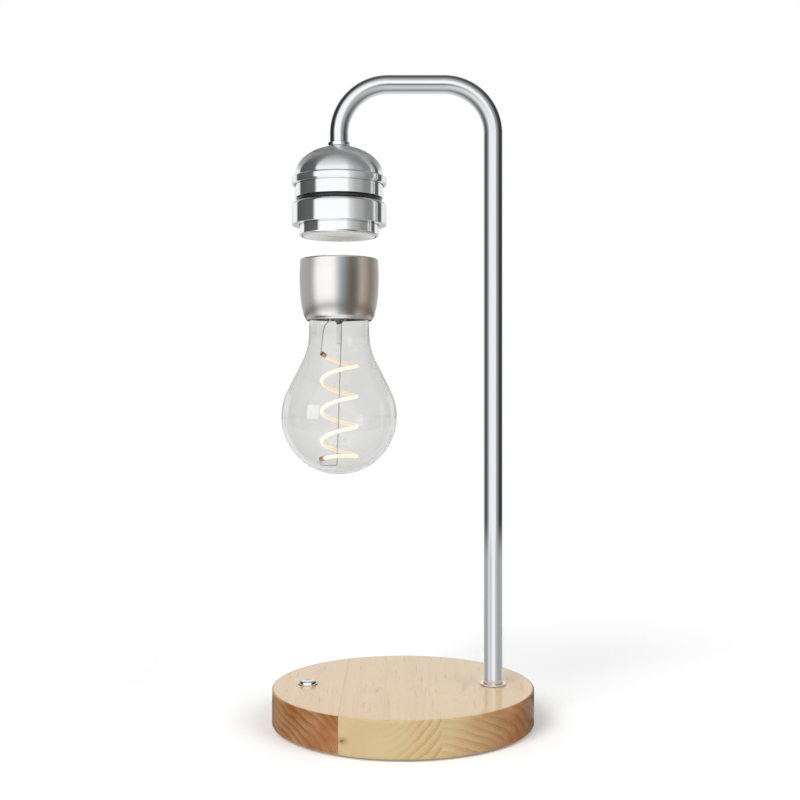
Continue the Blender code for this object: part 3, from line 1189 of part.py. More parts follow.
wood = finish("pale wood", (0.75, 0.58, 0.37), 0.35)
plate_steel = finish("plate steel", (0.45, 0.45, 0.46), 0.45, 1)
screw_steel = finish("zinc-plated steel", (0.55, 0.56, 0.58), 0.35, 1)
spring_steel = finish("spring steel", (0.5, 0.5, 0.52), 0.3, 1)
bright_chrome = finish("bright chrome", (0.78, 0.78, 0.79), 0.08, 1)
tube_steel = finish("polished steel tube", (0.72, 0.72, 0.73), 0.12, 1)
satin_aluminium = finish("satin aluminium", (0.7, 0.7, 0.7), 0.28, 1)
black_rubber = finish("black rubber", (0.03, 0.03, 0.03), 0.7)
white_plastic = finish("white plastic", (0.68, 0.68, 0.66), 0.4)
nylon = finish("natural nylon", (0.6, 0.58, 0.52), 0.5)
black_plastic = finish("black plastic", (0.02, 0.02, 0.02), 0.4)
board_green = finish("green circuit board", (0.02, 0.15, 0.06), 0.4)
copper = finish("enamelled copper", (0.6, 0.25, 0.1), 0.35, 1)
soft_iron = finish("soft iron", (0.35, 0.35, 0.36), 0.4, 1)
magnet_nickel = finish("nickel-plated magnet", (0.65, 0.63, 0.6), 0.2, 1)
clear_glass = finish("clear glass", (0.95, 0.96, 0.96), 0.02, transmission=1)
wire_nickel = finish("nickel wire", (0.4, 0.38, 0.35), 0.35, 1)
glow_yellow = finish("glowing phosphor", (1.0, 0.85, 0.6), 0.5, glow=2)
brass = finish("brass clip", (0.6, 0.45, 0.2), 0.35, 1)
lead_red = finish("red lead", (0.4, 0.03, 0.03), 0.5)

button_axis = joint_axis("button_axis", BUTTON_PLACE)
field_axis = joint_axis("field_axis", HEAD_PLACE)
bulb_axis = joint_axis("bulb_axis", HEAD_PLACE)

build_wood_base(wood)
build_bottom(plate_steel, screw_steel, black_rubber)
build_supply(board_green, nylon, screw_steel, black_plastic)
build_button(button_axis, bright_chrome, spring_steel, nylon, black_plastic, board_green, screw_steel)
build_switch_lead(lead_red)
build_arm(tube_steel, bright_chrome, screw_steel, black_plastic)
build_head_shells(bright_chrome, black_rubber, white_plastic, screw_steel)
build_head_works(screw_steel, nylon, copper, soft_iron, plate_steel, board_green)
build_magnet(field_axis, magnet_nickel)
build_cap(bulb_axis, satin_aluminium, white_plastic, copper, nylon, board_green)
build_bulb(bulb_axis, clear_glass, wire_nickel, glow_yellow, brass)
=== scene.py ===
"""The finished surfaces of a table lamp whose light bulb floats under a bell-shaped head.

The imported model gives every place. Lengths are in metres, +Z is up and the viewer looks along +Y.
An outline is a list of (radius, height) points that runs down the outer side of a turned piece.
"""

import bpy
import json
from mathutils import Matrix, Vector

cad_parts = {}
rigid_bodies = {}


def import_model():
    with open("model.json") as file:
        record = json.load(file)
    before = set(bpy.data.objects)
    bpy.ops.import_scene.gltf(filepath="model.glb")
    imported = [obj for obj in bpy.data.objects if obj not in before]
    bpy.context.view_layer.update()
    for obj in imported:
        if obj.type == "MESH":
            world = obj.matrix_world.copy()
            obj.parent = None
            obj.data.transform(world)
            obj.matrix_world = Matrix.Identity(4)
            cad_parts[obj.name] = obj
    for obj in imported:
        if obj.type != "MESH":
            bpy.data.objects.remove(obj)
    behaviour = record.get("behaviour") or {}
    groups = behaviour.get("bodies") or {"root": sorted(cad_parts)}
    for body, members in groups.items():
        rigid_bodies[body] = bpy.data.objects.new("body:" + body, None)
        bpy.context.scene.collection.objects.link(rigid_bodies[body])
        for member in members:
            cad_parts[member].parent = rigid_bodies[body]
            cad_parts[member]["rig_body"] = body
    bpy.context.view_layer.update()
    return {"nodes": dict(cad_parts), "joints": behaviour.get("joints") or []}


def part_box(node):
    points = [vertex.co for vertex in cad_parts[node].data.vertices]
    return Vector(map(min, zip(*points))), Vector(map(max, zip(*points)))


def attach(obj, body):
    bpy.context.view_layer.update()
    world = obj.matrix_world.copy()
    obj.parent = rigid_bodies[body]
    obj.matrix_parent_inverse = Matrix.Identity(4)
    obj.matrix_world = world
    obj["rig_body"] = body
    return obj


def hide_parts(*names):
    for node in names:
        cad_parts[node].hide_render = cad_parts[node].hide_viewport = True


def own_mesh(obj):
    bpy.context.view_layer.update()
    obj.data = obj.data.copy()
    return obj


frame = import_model()

import json
from math import acos, pi, radians, sqrt, tan

import bmesh
import bpy
import numpy as np
from bpy.props import FloatProperty, FloatVectorProperty, PointerProperty
from mathutils import Matrix, Vector

bl_info = {
    "name": "Floating Bulb Lamp Looks",
    "version": (1, 0, 0),
    "blender": (4, 5, 0),
    "location": "View3D > Sidebar > Lamp",
    "description": "Builds the finished surfaces of a table lamp with a floating bulb",
    "category": "Object",
}

# How finely the surfaces are worked out
BASE_COLUMNS = 256
HEAD_COLUMNS = 192
SMALL_COLUMNS = 64
RING_COLUMNS = 96
WIRE_COLUMNS = 16
FILAMENT_COLUMNS = 24
CLIP_COLUMNS = 32
EDGE_STEPS = 5
CORNER_STEPS = 8
BEND_STEPS = 40
DOME_STEPS = 28
CAP_STEPS = 8
MOUTH_STEPS = 9
SHOULDER_STEPS = 12
BALL_STEPS = 60
CLIP_POINTS = 7
LEAD_POINTS = 60
CENTRE_POINTS = 200
SHARP_ANGLE = radians(30)
MERGE_DISTANCE = 1e-7
OVERRUN = 0.001

# How edges are broken where nothing else is said, and the usual gap between parts
FINE_EDGE = 0.0001
SMALL_EDGE = 0.0002
SOFT_EDGE = 0.0003
CLEARANCE = 0.0003

# Turned wooden base
WOOD_ROUNDING = 0.0009
HOLE_CHAMFER = 0.00015
PLATE_RIM = 0.003
SIDE_WALL = 0.0085
TOP_WALL = 0.005
LEDGE_RISE = 0.0003
SCREW_SHANK = 0.0025
SCREW_HEAD = 0.0046
SCREW_HEAD_HEIGHT = 0.0011
SCREW_HEAD_EDGE = 0.0002
CROSS_WIDTH = 0.0006
CROSS_LENGTH = 0.0025
CROSS_DEPTH = 0.0007
SMALL_SCREW = 0.002
SMALL_SCREW_BITE = 0.003
FOOT_EDGE = 0.0004
FOOT_GROOVE = 0.0002
FOOT_GROOVE_SHARE = 0.55
INLET_RECESS = 0.0084
INLET_BORE = 0.0062
INLET_BORE_DEPTH = 0.0095
INLET_PIN = 0.0021
INLET_PIN_LENGTH = 0.0085
INLET_PIN_BEVEL = 0.4
INLET_CORNER = 10
INLET_EDGE = 0.0004

# Wood: the (X, Z) of each stave's heart from left to right, and where its marks begin and are full
HEARTS = ((-0.088, -0.036), (-0.016, 0.033), (0.012, -0.03))
GLUE_LINE = 0.00008
GLUE_SHADE = (0.0001, 0.0004)
RIM_INSETS = (0.0012, 0.0002)
# Where the rim starts to darken towards the right, and where it is full
RIGHT_DARKENING = (0.015, 0.06)
# Where painted shade starts to darken the rim's right edge, and where it is full
RIGHT_EDGE_PAINTED_SHADE = (0.056, 0.069)
# Where the left stave's darker rim starts to ease towards the far left edge, and where it is full
LEFT_EDGE_EASING = (0.056, 0.068)
INNER_RINGS = (-0.014, 0.01)
KNOT_OFFSET = 0.0019
KNOT_LEVEL = 0.0083
KNOT_STRETCH = 0.7
KNOT_RAGGEDNESS = 0.0024
KNOT_HALO = (0.0002, 0.003)
KNOT_CORE = (0.0001, 0.0009)

# Push button
BUTTON_ROUNDING = 0.0006
BUTTON_DISH = 0.00015
BUTTON_STEM = 0.003
BUTTON_GROOVE = 0.002
BUTTON_SKIRT = 0.0034
BUTTON_DISH_SHARE = 0.5
SPRING_WIRE = 0.0005
SPRING_TURNS = 3

# Tube
COLLAR_STEP = 0.001
TUBE_WALL = 0.001
BEND_RADIUS = 0.026
ARM_REACH_DOWN = 0.0464
FLANGE_ROUNDING = 0.00025

# Head
HEAD_WALL = 0.001
DOME_WIDTH = 0.0466
DOME_RISE = 0.0155
LIP_HEIGHT = 0.0053
LIP_FALL = 0.0006
LIP_TOP_ROUNDING = 0.00045
LIP_CHAMFER = 0.0005
LIP_CHAMFER_RISE = 0.001
LIP_SIDE_ROUNDING = 0.0006
LIP_SEAT = 0.0025
LIP_COVE = 0.0003
LIP_LEDGE = 0.0009
SATIN_CROWN = 0.28
WINDING_PITCH = 0.0003
BARREL_WALL = 0.0012
BARREL_FLANGE = 0.002
FLANGE_HOLE = 0.0352
RING_WIDTH = 0.0014
RING_ROUNDING = 0.0004
BAND_WALL = 0.0012
BAND_SHOULDER = 0.0017
BAND_EDGE = 0.0003
BAND_INNER_ROUNDING = 0.0005
CUP_WALL = 0.0012
CUP_WIDTH = 0.0418
CUP_ROUNDING = 0.0012
CUP_RIM = 0.0014
CUP_SEAT = 0.001
DISC_EDGE = 0.0003
COLLAR_ROUNDING = 0.00035

# Bulb. The cap's side is (share of its height from the top, how much narrower than the widest), and the
# flare of its lip is (outwards, upwards) from the lip's lower edge.
CAP_SIDE = ((0.31, 0.0), (0.66, 0.0006), (0.905, 0.0022))
CAP_LIP_FLARE = ((0.0002, 0.0004), (-0.0006, -0.0024))
CAP_WALL = 0.001
CAP_ROUNDING = 0.0009
CAP_BORE_CLEARANCE = 0.0003
CAP_MOUTH = 0.0326
CAP_LIP = 0.0342
CAP_HEIGHT = 0.0327
CAP_LIP_ROUNDING = 0.0004
CAP_INNER_LEDGE = 0.1
CAP_BORE_END = 0.66
GLASS_WALL = 0.0009
NECK_DIAMETER = 0.0316
NECK_SHOWING = 0.0056
NECK_FILLET = 0.036
SHOULDER_ANGLE = radians(26.6)
STEM_WALL = 0.001
STEM_PINCH = 0.0072
STEM_LEVEL = 0.0074
STEM_TOP = 0.0169
STEM_ROD = 0.0026
STEM_ROD_LENGTH = 0.0105
STEM_FUNNEL_ROUNDING = 0.0012
STEM_RIM_ROUNDING = 0.0005
STEM_NECK_ROUNDING = 0.002
STEM_PINCH_ROUNDING = 0.001
STEM_ROD_ROUNDING = 0.0008
WIRE = 0.0008
WIRE_SHOWN = 0.00055
LEAD_REACH = 0.0082
LEAD_BEND_DROP = 0.0051
LEAD_BEND = 0.0012
CENTRE_TOP_OFFSET = 0.0014
CENTRE_FRONT = 0.0022
CENTRE_LOWER_OFFSET = 0.0012
CENTRE_HOOK_DROP = 0.0033
CENTRE_BEND = 0.0014
FILAMENT = 0.002
FILAMENT_EDGE = 0.0007
CHIP_SPACING = 0.0009
FILAMENT_TURN = 0.0092
FILAMENT_PITCH = 0.0159
FILAMENT_LAST_PITCH = 0.004
FILAMENT_TILT_SHARE = 0.19
FILAMENT_END_TURN_SHARE = 0.4047
FILAMENT_TURNS = 3
FILAMENT_DEPTH = 0.0185
FILAMENT_POINTS_PER_TURN = 44
CLIP = 0.0026
CLIP_LENGTH = 0.003

# What polished metal sees of the studio all round, as bands of (degrees from the viewer's side, tone)
STUDIO_BANDS = (
    (-180, 0.6), (-155, 0.6), (-148, 0.95), (-124, 0.95), (-118, 0.09), (-64, 0.13), (-57, 1.08), (22, 1.08),
    (30, 0.72), (46, 0.47), (60, 0.4), (72, 0.27), (92, 0.27), (97, 0.8), (107, 0.8), (112, 0.1), (125, 0.1),
    (131, 0.85), (148, 0.85), (155, 0.6), (180, 0.6),
)

# Screens close to polished pieces. A band is (share of the half width, tone), and on the tube a share of 1
# is the bends' outer side.
BUTTON_SCREEN = 0.0054
BUTTON_BANDS = ((-1, 0.04), (-0.62, 0.05), (-0.48, 0.9), (0.1, 1.0), (0.42, 0.9), (0.58, 0.05), (1, 0.04))
CAP_SCREEN = 0.05
CAP_REACH = 1.1
CAP_BANDS = (
    (-1, 0.6), (-0.9, 0.46), (-0.66, 0.38), (-0.54, 1.12), (-0.12, 1.18), (0.05, (0.4, 0.43, 0.45)),
    (0.3, (0.115, 0.112, 0.105)), (0.46, (0.14, 0.125, 0.11)), (0.58, (0.54, 0.49, 0.44)),
    (0.68, (0.42, 0.36, 0.3)), (0.8, (0.22, 0.18, 0.14)), (1, 0.7),
)
CAP_BACK = ((-180, 0.15), (-170, 0.2), (-163, 1.0), (-158, 0.9))
CAP_SCREEN_ABOVE = 0.01
CAP_SCREEN_BELOW = 0.03
CAP_DIM_START = (-0.0088, -0.0058)
CAP_DIM_END = (-0.0033, 0.0037)
CAP_DIM = (0.14, 0.115, 0.1)
TUBE_SLEEVE = 0.016
SLEEVE_REACH = 1.2
POST_SIDE = (-0.001, 0.001)
POST_FOOT_END = (0.082, 0.108)
POST_BANDS = (
    (-1, 0.9), (-0.93, 0.5), (-0.84, 0.07), (-0.68, 0.1), (-0.5, 0.5), (-0.4, 1.0), (0.22, 1.0), (0.3, 0.45),
    (0.5, 0.22), (0.6, 0.06), (0.86, 0.03), (0.95, 0.4), (1, 0.9),
)
POST_FOOT_BANDS = (
    (-1, 0.9), (-0.93, 0.6), (-0.84, 0.42), (-0.66, 0.4), (-0.5, 0.8), (-0.27, 0.68), (0.03, 1.15),
    (0.25, 0.58), (0.45, 0.43), (0.75, 0.4), (0.93, 0.6), (1, 0.9),
)
HEAD_SIDE_BANDS = (
    (-1, 0.95), (-0.95, 0.85), (-0.85, 0.35), (-0.75, 0.16), (-0.65, 0.08), (-0.53, 0.06), (-0.42, 0.3),
    (-0.25, 0.42), (-0.13, 0.95), (0, 1.15), (0.4, 1.1), (0.48, 0.75), (0.57, 0.1), (0.67, 0.02),
    (0.77, 0.015), (0.87, 0.06), (0.93, 0.3), (1, 0.9),
)
ARM_BEND_PACE = 1.6
ARM_BANDS = (
    (-1, 1), (-0.78, 0.75), (-0.66, 0.45), (-0.56, 0.26), (-0.45, 0.6), (-0.17, 0.72), (-0.08, 0.5),
    (0.03, 0.16), (0.12, 0.6), (0.2, 1.15), (0.31, 1.2), (0.4, 0.95), (0.5, 0.6), (0.7, 0.25), (0.8, 0.1),
    (0.87, 0.08), (0.93, 0.25), (1, 0.6),
)
SLEEVE_BANDS = (POST_FOOT_BANDS, POST_BANDS, HEAD_SIDE_BANDS, ARM_BANDS)
SLEEVE_LEANS = (0, 0, 0, 14.7)

# A bright pane that the glass mirrors, to the left of the viewer. Its distance is from the ball's middle.
PANE = 0.042
PANE_DISTANCE = 0.104
PANE_BEARING = radians(-44.5)
PANE_RISE = radians(9)
PANE_REACH = 0.095
PANE_LIGHT = 3.0

# Stage. Lamps are (name, how soft in degrees, turn in degrees).
SENSOR = 36
FLOOR_THICKNESS = 0.01
FLOOR_PAINT = 0.88
FLOOR_SHOWN = 1.03
FLOOR_MIRRORED = 0.9
LAMPS = (("key_lamp", 30, (48, 0, -38)), ("fill_lamp", 40, (52, 0, 55)))
DUSK_START = radians(8)
DUSK_SPAN = radians(92)
DUSK_PACE = 0.8
BEHIND_STARTS = (0.2, 0.45)
BEHIND_LIFT = 1.1
BACK_WALL = 1.05
BACK_WALL_RISE = (0.0, 0.35)
BACK_WALL_SIDES = (0.6, 0.95)
CEILING = (0.085, 0.09, 0.09)
CEILING_SHARE = 0.12


def new_object(name, data):
    """A new object in the scene."""
    thing = bpy.data.objects.new(name, data)
    bpy.context.scene.collection.objects.link(thing)
    return thing


def middle(node):
    """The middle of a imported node's box."""
    low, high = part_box(node)
    return (low + high) / 2


def width(node):
    """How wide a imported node's box is along X."""
    low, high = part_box(node)
    return high.x - low.x


def levels(node):
    """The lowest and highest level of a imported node."""
    low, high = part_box(node)
    return low.z, high.z


def extent(node):
    """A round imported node's lowest and highest level and its radius."""
    return *levels(node), width(node) / 2


HEAD_AXIS = (middle("head_dome").x, 0.0)
POST_AXIS = (middle("post_flange").x, 0.0)
BUTTON_AXIS = (middle("button_cap").x, 0.0)
BASE_RADIUS = width("wood_base") / 2
TUBE_RADIUS = width("head_collar") / 2 - COLLAR_STEP
PLATE_SCREWS = ("plate_screw_1", "plate_screw_2", "plate_screw_3")
WOOD_SCREWS = ("board_screw", "switch_screw_1", "switch_screw_2")
HEAD_SCREWS = ("head_screw_1", "head_screw_2", "head_screw_3")
CLAMPS = ("post_washer", "post_nut", "head_washer", "head_lock_nut")


def colour_setting(name, description, default):
    """An entry for a colour."""
    return FloatVectorProperty(
        name=name, description=description, subtype="COLOR", size=3, min=0, max=1, default=default,
    )


def length_setting(name, description, default, **limits):
    """An entry for a length."""
    return FloatProperty(name=name, description=description, unit="LENGTH", default=default, **limits)


def share_setting(name, description, default):
    """An entry for a share between 0 and 1."""
    return FloatProperty(
        name=name, description=description, subtype="FACTOR", min=0, max=1, default=default,
    )


def number_setting(name, description, default, **limits):
    """An entry for a plain number."""
    return FloatProperty(name=name, description=description, default=default, **limits)


class WoodLook(bpy.types.PropertyGroup):
    pale: colour_setting("Pale wood", "Colour of the sapwood", (0.79, 0.58, 0.318))
    cut: colour_setting("Cut end", "Colour of the sapwood where the rim cuts it", (0.595, 0.465, 0.25))
    heart: colour_setting(
        "Heartwood", "Colour of the darker stave and of the late growth", (0.36, 0.12, 0.018),
    )
    left_joint: length_setting("Left joint", "Where the left stave is glued on", -0.0312)
    right_joint: length_setting("Right joint", "Where the right stave is glued on", 0.0182)
    ring_spacing: length_setting("Ring spacing", "Distance between growth rings", 0.0038, min=0.0005)
    lacquer_roughness: share_setting("Lacquer roughness", "Roughness of the clear lacquer", 0.12)


class MetalLook(bpy.types.PropertyGroup):
    chrome: colour_setting("Chrome", "Colour of the polished shells and the tube", (0.93, 0.94, 0.945))
    chrome_roughness: share_setting("Chrome roughness", "Roughness of the polished metal", 0.09)
    satin: colour_setting("Satin aluminium", "Colour of the bulb's cap", (0.9, 0.888, 0.868))
    satin_roughness: share_setting("Satin roughness", "Roughness of the bulb's cap", 0.3)
    fastener: colour_setting("Zinc plating", "Colour of screws, nuts and washers", (0.56, 0.57, 0.58))
    brass: colour_setting("Brass", "Colour of the filament's clips", (0.62, 0.46, 0.22))


class BulbLook(bpy.types.PropertyGroup):
    glass: colour_setting("Glass", "Tint of the clear glass at each surface", (0.855, 0.855, 0.848))
    glow_outside: colour_setting("Glow outside", "Light of the filament's outer side", (1.0, 0.98, 0.93))
    glow_inside: colour_setting("Glow inside", "Light of the filament's inner side", (0.86, 0.68, 0.52))
    glow_strength: number_setting("Glow strength", "How bright the filament is", 1.0, min=0)


class StageLook(bpy.types.PropertyGroup):
    camera_distance: length_setting(
        "Camera distance", "From the lamp's middle to the camera", 0.62, min=0.1,
    )
    camera_height: length_setting("Camera height", "Height of the camera above the table", 0.1739)
    camera_side: length_setting("Camera side", "How far the camera stands to the side", -0.0016)
    lens: number_setting("Lens", "Focal length in millimetres on a 36 mm sensor", 52.65, min=10)
    lens_shift: number_setting(
        "Lens shift", "Upward shift of the frame as a share of its width", -0.008,
    )
    ambient: number_setting("Ambient light", "Level of the even light from all sides", 0.5, min=0)
    key: number_setting("Key light", "Strength of the soft light from the front left", 1.6, min=0)
    fill: number_setting("Fill light", "Strength of the soft light from the right", 0.9, min=0)
    floor: length_setting("Floor", "Half the width of the pale floor", 4.0, min=0.2)


class Shade:
    """A number, colour or vector on a shader socket, on which arithmetic works."""

    def __init__(self, nodes, socket):
        self.nodes = nodes
        self.socket = socket

    def __add__(self, other):
        return self.nodes.maths("ADD", self, other)

    def __sub__(self, other):
        return self.nodes.maths("SUBTRACT", self, other)

    def __rsub__(self, other):
        return self.nodes.maths("SUBTRACT", other, self)

    def __mul__(self, other):
        return self.nodes.maths("MULTIPLY", self, other)

    def __truediv__(self, other):
        return self.nodes.maths("DIVIDE", self, other)

    def __pow__(self, other):
        return self.nodes.maths("POWER", self, other)

    __radd__ = __add__
    __rmul__ = __mul__

    def turn(self, name):
        """Another output of the node that this comes from."""
        return Shade(self.nodes, self.socket.node.outputs[name])


class Nodes:
    """The shader nodes of one material or of the world."""

    def __init__(self, tree):
        self.tree = tree

    def make(self, kind, settings=None, values=None, output=0):
        """Adds a node of this type, with its settings first and then the values or links of its sockets."""
        node = self.tree.nodes.new(kind)
        node.location.x = 200 * len(self.tree.nodes)
        for name, value in (settings or {}).items():
            if name == "stops":
                self.set_stops(node.color_ramp, value)
            else:
                setattr(node, name, value)
        for name, value in (values or {}).items():
            self.feed(node.inputs[name], value)
        return Shade(self, node.outputs[output]) if node.outputs else None

    def feed(self, socket, value):
        """Links a socket to a shade, or sets its own value."""
        if isinstance(value, Shade):
            self.tree.links.new(value.socket, socket)
        elif socket.type == "RGBA":
            socket.default_value = (*value, 1)
        else:
            socket.default_value = value

    def set_stops(self, ramp, stops):
        """Gives a colour ramp its (place, colour) stops."""
        ramp.interpolation = "LINEAR"
        for place, _ in stops[2:]:
            ramp.elements.new(place)
        for element, (place, colour) in zip(ramp.elements, stops):
            element.position = place
            element.color = (*colour, 1)

    def maths(self, operation, *values):
        return self.make("ShaderNodeMath", {"operation": operation}, dict(enumerate(values)))

    def vector(self, operation, *values):
        return self.make("ShaderNodeVectorMath", {"operation": operation}, dict(enumerate(values)))

    def mix(self, share, first, second):
        """A colour between two, by the second one's share."""
        return self.make("ShaderNodeMix", {"data_type": "RGBA"}, {0: share, 6: first, 7: second}, 2)

    def ramp(self, share, stops):
        return self.make("ShaderNodeValToRGB", {"stops": stops}, {"Fac": share})

    def step(self, value, low, high):
        """Goes smoothly from 0 at the low value to 1 at the high one."""
        settings = {"interpolation_type": "SMOOTHSTEP"}
        return self.make("ShaderNodeMapRange", settings, {"Value": value, "From Min": low, "From Max": high})

    def place(self):
        """The point's place in the lamp's frame."""
        return self.make("ShaderNodeTexCoord", output="Object")

    def parts(self, vector):
        """The X, Y and Z of a vector."""
        x = self.make("ShaderNodeSeparateXYZ", values={"Vector": vector})
        return x, x.turn("Y"), x.turn("Z")

    def joined(self, x, y, z):
        return self.make("ShaderNodeCombineXYZ", values={"X": x, "Y": y, "Z": z})

    def noise(self, vector, scale, detail=2.0, roughness=0.5):
        values = {"Vector": vector, "Scale": scale, "Detail": detail, "Roughness": roughness}
        return self.make("ShaderNodeTexNoise", values=values)

    def grain(self, place, scales, detail=2.0, roughness=0.5):
        """Noise that is drawn out along the axes whose scale is small."""
        scaled = self.joined(*(part * scale for part, scale in zip(place, scales)))
        return self.noise(scaled, 1.0, detail, roughness)

    def length(self, first, second):
        """How long a line with these two legs is."""
        return (first * first + second * second) ** 0.5

    def bump(self, height, strength, distance):
        values = {"Height": height, "Strength": strength, "Distance": distance}
        return self.make("ShaderNodeBump", values=values)

    def light_path(self):
        """Whether the camera looks straight or through glass, and the light path that tells it."""
        path = self.make("ShaderNodeLightPath", output="Is Camera Ray")
        return self.maths("MAXIMUM", path, path.turn("Is Transmission Ray")), path


class Material(Nodes):
    """The shader nodes of a new material."""

    def __init__(self, name):
        self.material = bpy.data.materials.new(name)
        self.material.use_nodes = True
        super().__init__(self.material.node_tree)


class Finish(Material):
    """A material with a Principled surface."""

    def done(self, **values):
        """Sets or links the surface's sockets, whose names are written with _ for a space."""
        surface = self.tree.nodes["Principled BSDF"]
        for name, value in values.items():
            self.feed(surface.inputs[name.replace("_", " ")], value)
        return self.material


class Plain(Material):
    """A material whose shader is made of other nodes."""

    def __init__(self, name):
        super().__init__(name)
        self.tree.nodes.clear()

    def done(self, shader):
        """Puts the shader on the surface."""
        self.make("ShaderNodeOutputMaterial", values={"Surface": shader})
        return self.material


def round_axis(nodes, axis):
    """The distance from an upright axis and the height, as shades."""
    x, y, z = nodes.parts(nodes.place())
    across = nodes.vector("SUBTRACT", nodes.joined(x, y, 0.0), (*axis, 0.0))
    return nodes.make("ShaderNodeVectorMath", {"operation": "LENGTH"}, {0: across}, "Value"), z


def stave_masks(nodes, x, look):
    """Masks of the left, the middle and the right stave."""
    left = 1 - nodes.step(x, look.left_joint - GLUE_LINE, look.left_joint + GLUE_LINE)
    right = nodes.step(x, look.right_joint - GLUE_LINE, look.right_joint + GLUE_LINE)
    return left, 1 - left - right, right


def late_growth(nodes, ring, start):
    """How dark a ring's late growth is: it deepens from a start and ends sharply."""
    share = nodes.maths("FRACT", ring)
    return nodes.step(share, start, 0.9) * (1 - nodes.step(share, 0.92, 1.0))


def growth_rings(nodes, place, masks, fine, spacing):
    """The late growth of rings about each stave's own heart, a line along Y, with finer rings between.

    A ring's number is the distance from the heart, shifted a little by noise, over the spacing.
    """
    x, y, z = place
    left, centre, right = masks
    (left_x, left_z), (centre_x, centre_z), (right_x, right_z) = HEARTS
    heart_x = left * left_x + centre * centre_x + right * right_x
    heart_z = left * left_z + centre * centre_z + right * right_z
    drift = nodes.noise(nodes.joined(x * 30, y * 9 + left * 5, z * 30 + right * 7), 1.0, 3.0)
    shift = (drift - 0.5) * 0.013 + (fine - 0.5) * 0.0009
    ring = (nodes.length(x - heart_x, z - heart_z) + shift) / spacing
    patch = nodes.step(nodes.grain(place, (50, 3, 50), 1.0), 0.25, 0.7)
    return late_growth(nodes, ring, 0.2) * patch * 0.8 + late_growth(nodes, ring * 3.3, 0.3) * 0.3


def knotted(nodes, place, look, fine, rim, base):
    """The base colour with a small knot on the front of the rim, beside the left joint."""
    x, y, z = place
    side = (x - look.left_joint - KNOT_OFFSET) * KNOT_STRETCH
    off = nodes.length(side, z - KNOT_LEVEL) + (fine - 0.5) * KNOT_RAGGEDNESS
    front = rim * nodes.step(0 - y, 0.0, 0.01)
    base = nodes.mix((1 - nodes.step(off, *KNOT_HALO)) * 0.55 * front, base, look.heart)
    return nodes.mix((1 - nodes.step(off, *KNOT_CORE)) * 0.7 * front, base, (0.13, 0.035, 0.012))


def wood_finish(look):
    """Lacquered pale wood in three glued staves with its grain along Y.

    On the rim, where the rings are cut across, they are darker, and the rim darkens over the left stave and
    towards the right; its right edge is darkened with painted shade. Short pores run along the grain.
    """
    nodes = Finish("lacquered pale wood")
    place = nodes.parts(nodes.place())
    x, y, z = place
    masks = stave_masks(nodes, x, look)
    left, centre, right = masks
    fine = nodes.grain(place, (300, 14, 300), 3.0, 0.6)
    late = growth_rings(nodes, place, masks, fine, look.ring_spacing)
    rim = nodes.step(nodes.length(x, y), *(BASE_RADIUS - inset for inset in RIM_INSETS))
    face = 1 - rim

    # The rim darkens over the left stave, less so at its far left edge, and towards the right; the top
    # darkens a little towards the right
    right_darkening = nodes.step(x, *RIGHT_DARKENING)
    ember = 0.7 + 0.3 * nodes.step(nodes.grain(place, (60, 5, 130), 3.0), 0.3, 0.7)
    left_edge_easing = 1 - 0.4 * nodes.step(0 - x, *LEFT_EDGE_EASING)
    rim_darkening = rim * (left * left_edge_easing + right_darkening) * ember + face * right_darkening * 0.05
    base = nodes.mix(nodes.maths("MINIMUM", rim_darkening, 1.0), nodes.mix(rim, look.pale, look.cut), look.heart)
    pink = nodes.mix(0.45, look.pale, (0.8, 0.53, 0.38))
    blush = nodes.step(nodes.noise(nodes.joined(x * 45, y * 11 + 3, 0.0), 1.0, 2.0), 0.42, 0.7)
    base = nodes.mix((left * 0.4 + blush * 0.3) * face, base, pink)
    tone = nodes.grain(place, (120, 4, 60), 4.0, 0.55)
    browned = nodes.mix(0.5, look.pale, look.heart)
    base = nodes.mix((tone - 0.4) * (0.5 + rim * 0.5), base, browned)

    inner = centre * nodes.step(x, *INNER_RINGS)
    strong = inner * 1.2 + left * 1.1 + right * (0.6 + 0.4 * right_darkening)
    darker = nodes.mix(rim, browned, nodes.mix(left + right_darkening, (0.45, 0.27, 0.1), (0.2, 0.075, 0.025)))
    base = nodes.mix(late * (0.08 + face * 0.15 * centre + rim * 0.72 * strong), base, darker)
    # Painted shade: the right edge of the rim is darkened to a near-black brown
    dusk = rim * nodes.step(x, *RIGHT_EDGE_PAINTED_SHADE)
    base = nodes.mix(dusk * 0.75, base, (0.16, 0.055, 0.02))

    flecks = nodes.step(nodes.grain(place, (1000, 42, 1000), 1.0), 0.65, 0.76) * face
    base = nodes.mix(flecks * 0.36, base, look.heart)
    pores = nodes.step(nodes.grain(place, (2600, 170, 2600), 1.0), 0.66, 0.76) * (1 - rim * 0.5)
    base = nodes.mix(pores * 0.2, base, look.heart)
    base = knotted(nodes, place, look, fine, rim, base)
    glued = 1 - nodes.step(nodes.maths("ABSOLUTE", x - look.left_joint), *GLUE_SHADE)
    # The painted shade on the rim's right edge also lowers the lacquer's shine there
    return nodes.done(
        Base_Color=nodes.mix(glued * 0.25, base, look.heart), Roughness=0.36 + tone * 0.12,
        Normal=nodes.bump(pores * -1.0 - late * 0.12 + fine * 0.1, 0.25, 0.0001), Specular_IOR_Level=0.2,
        Coat_Weight=0.95 + tone * 0.05 - rim * 0.55 - dusk * 0.3, Coat_Roughness=look.lacquer_roughness,
        Coat_IOR=1.5,
    )


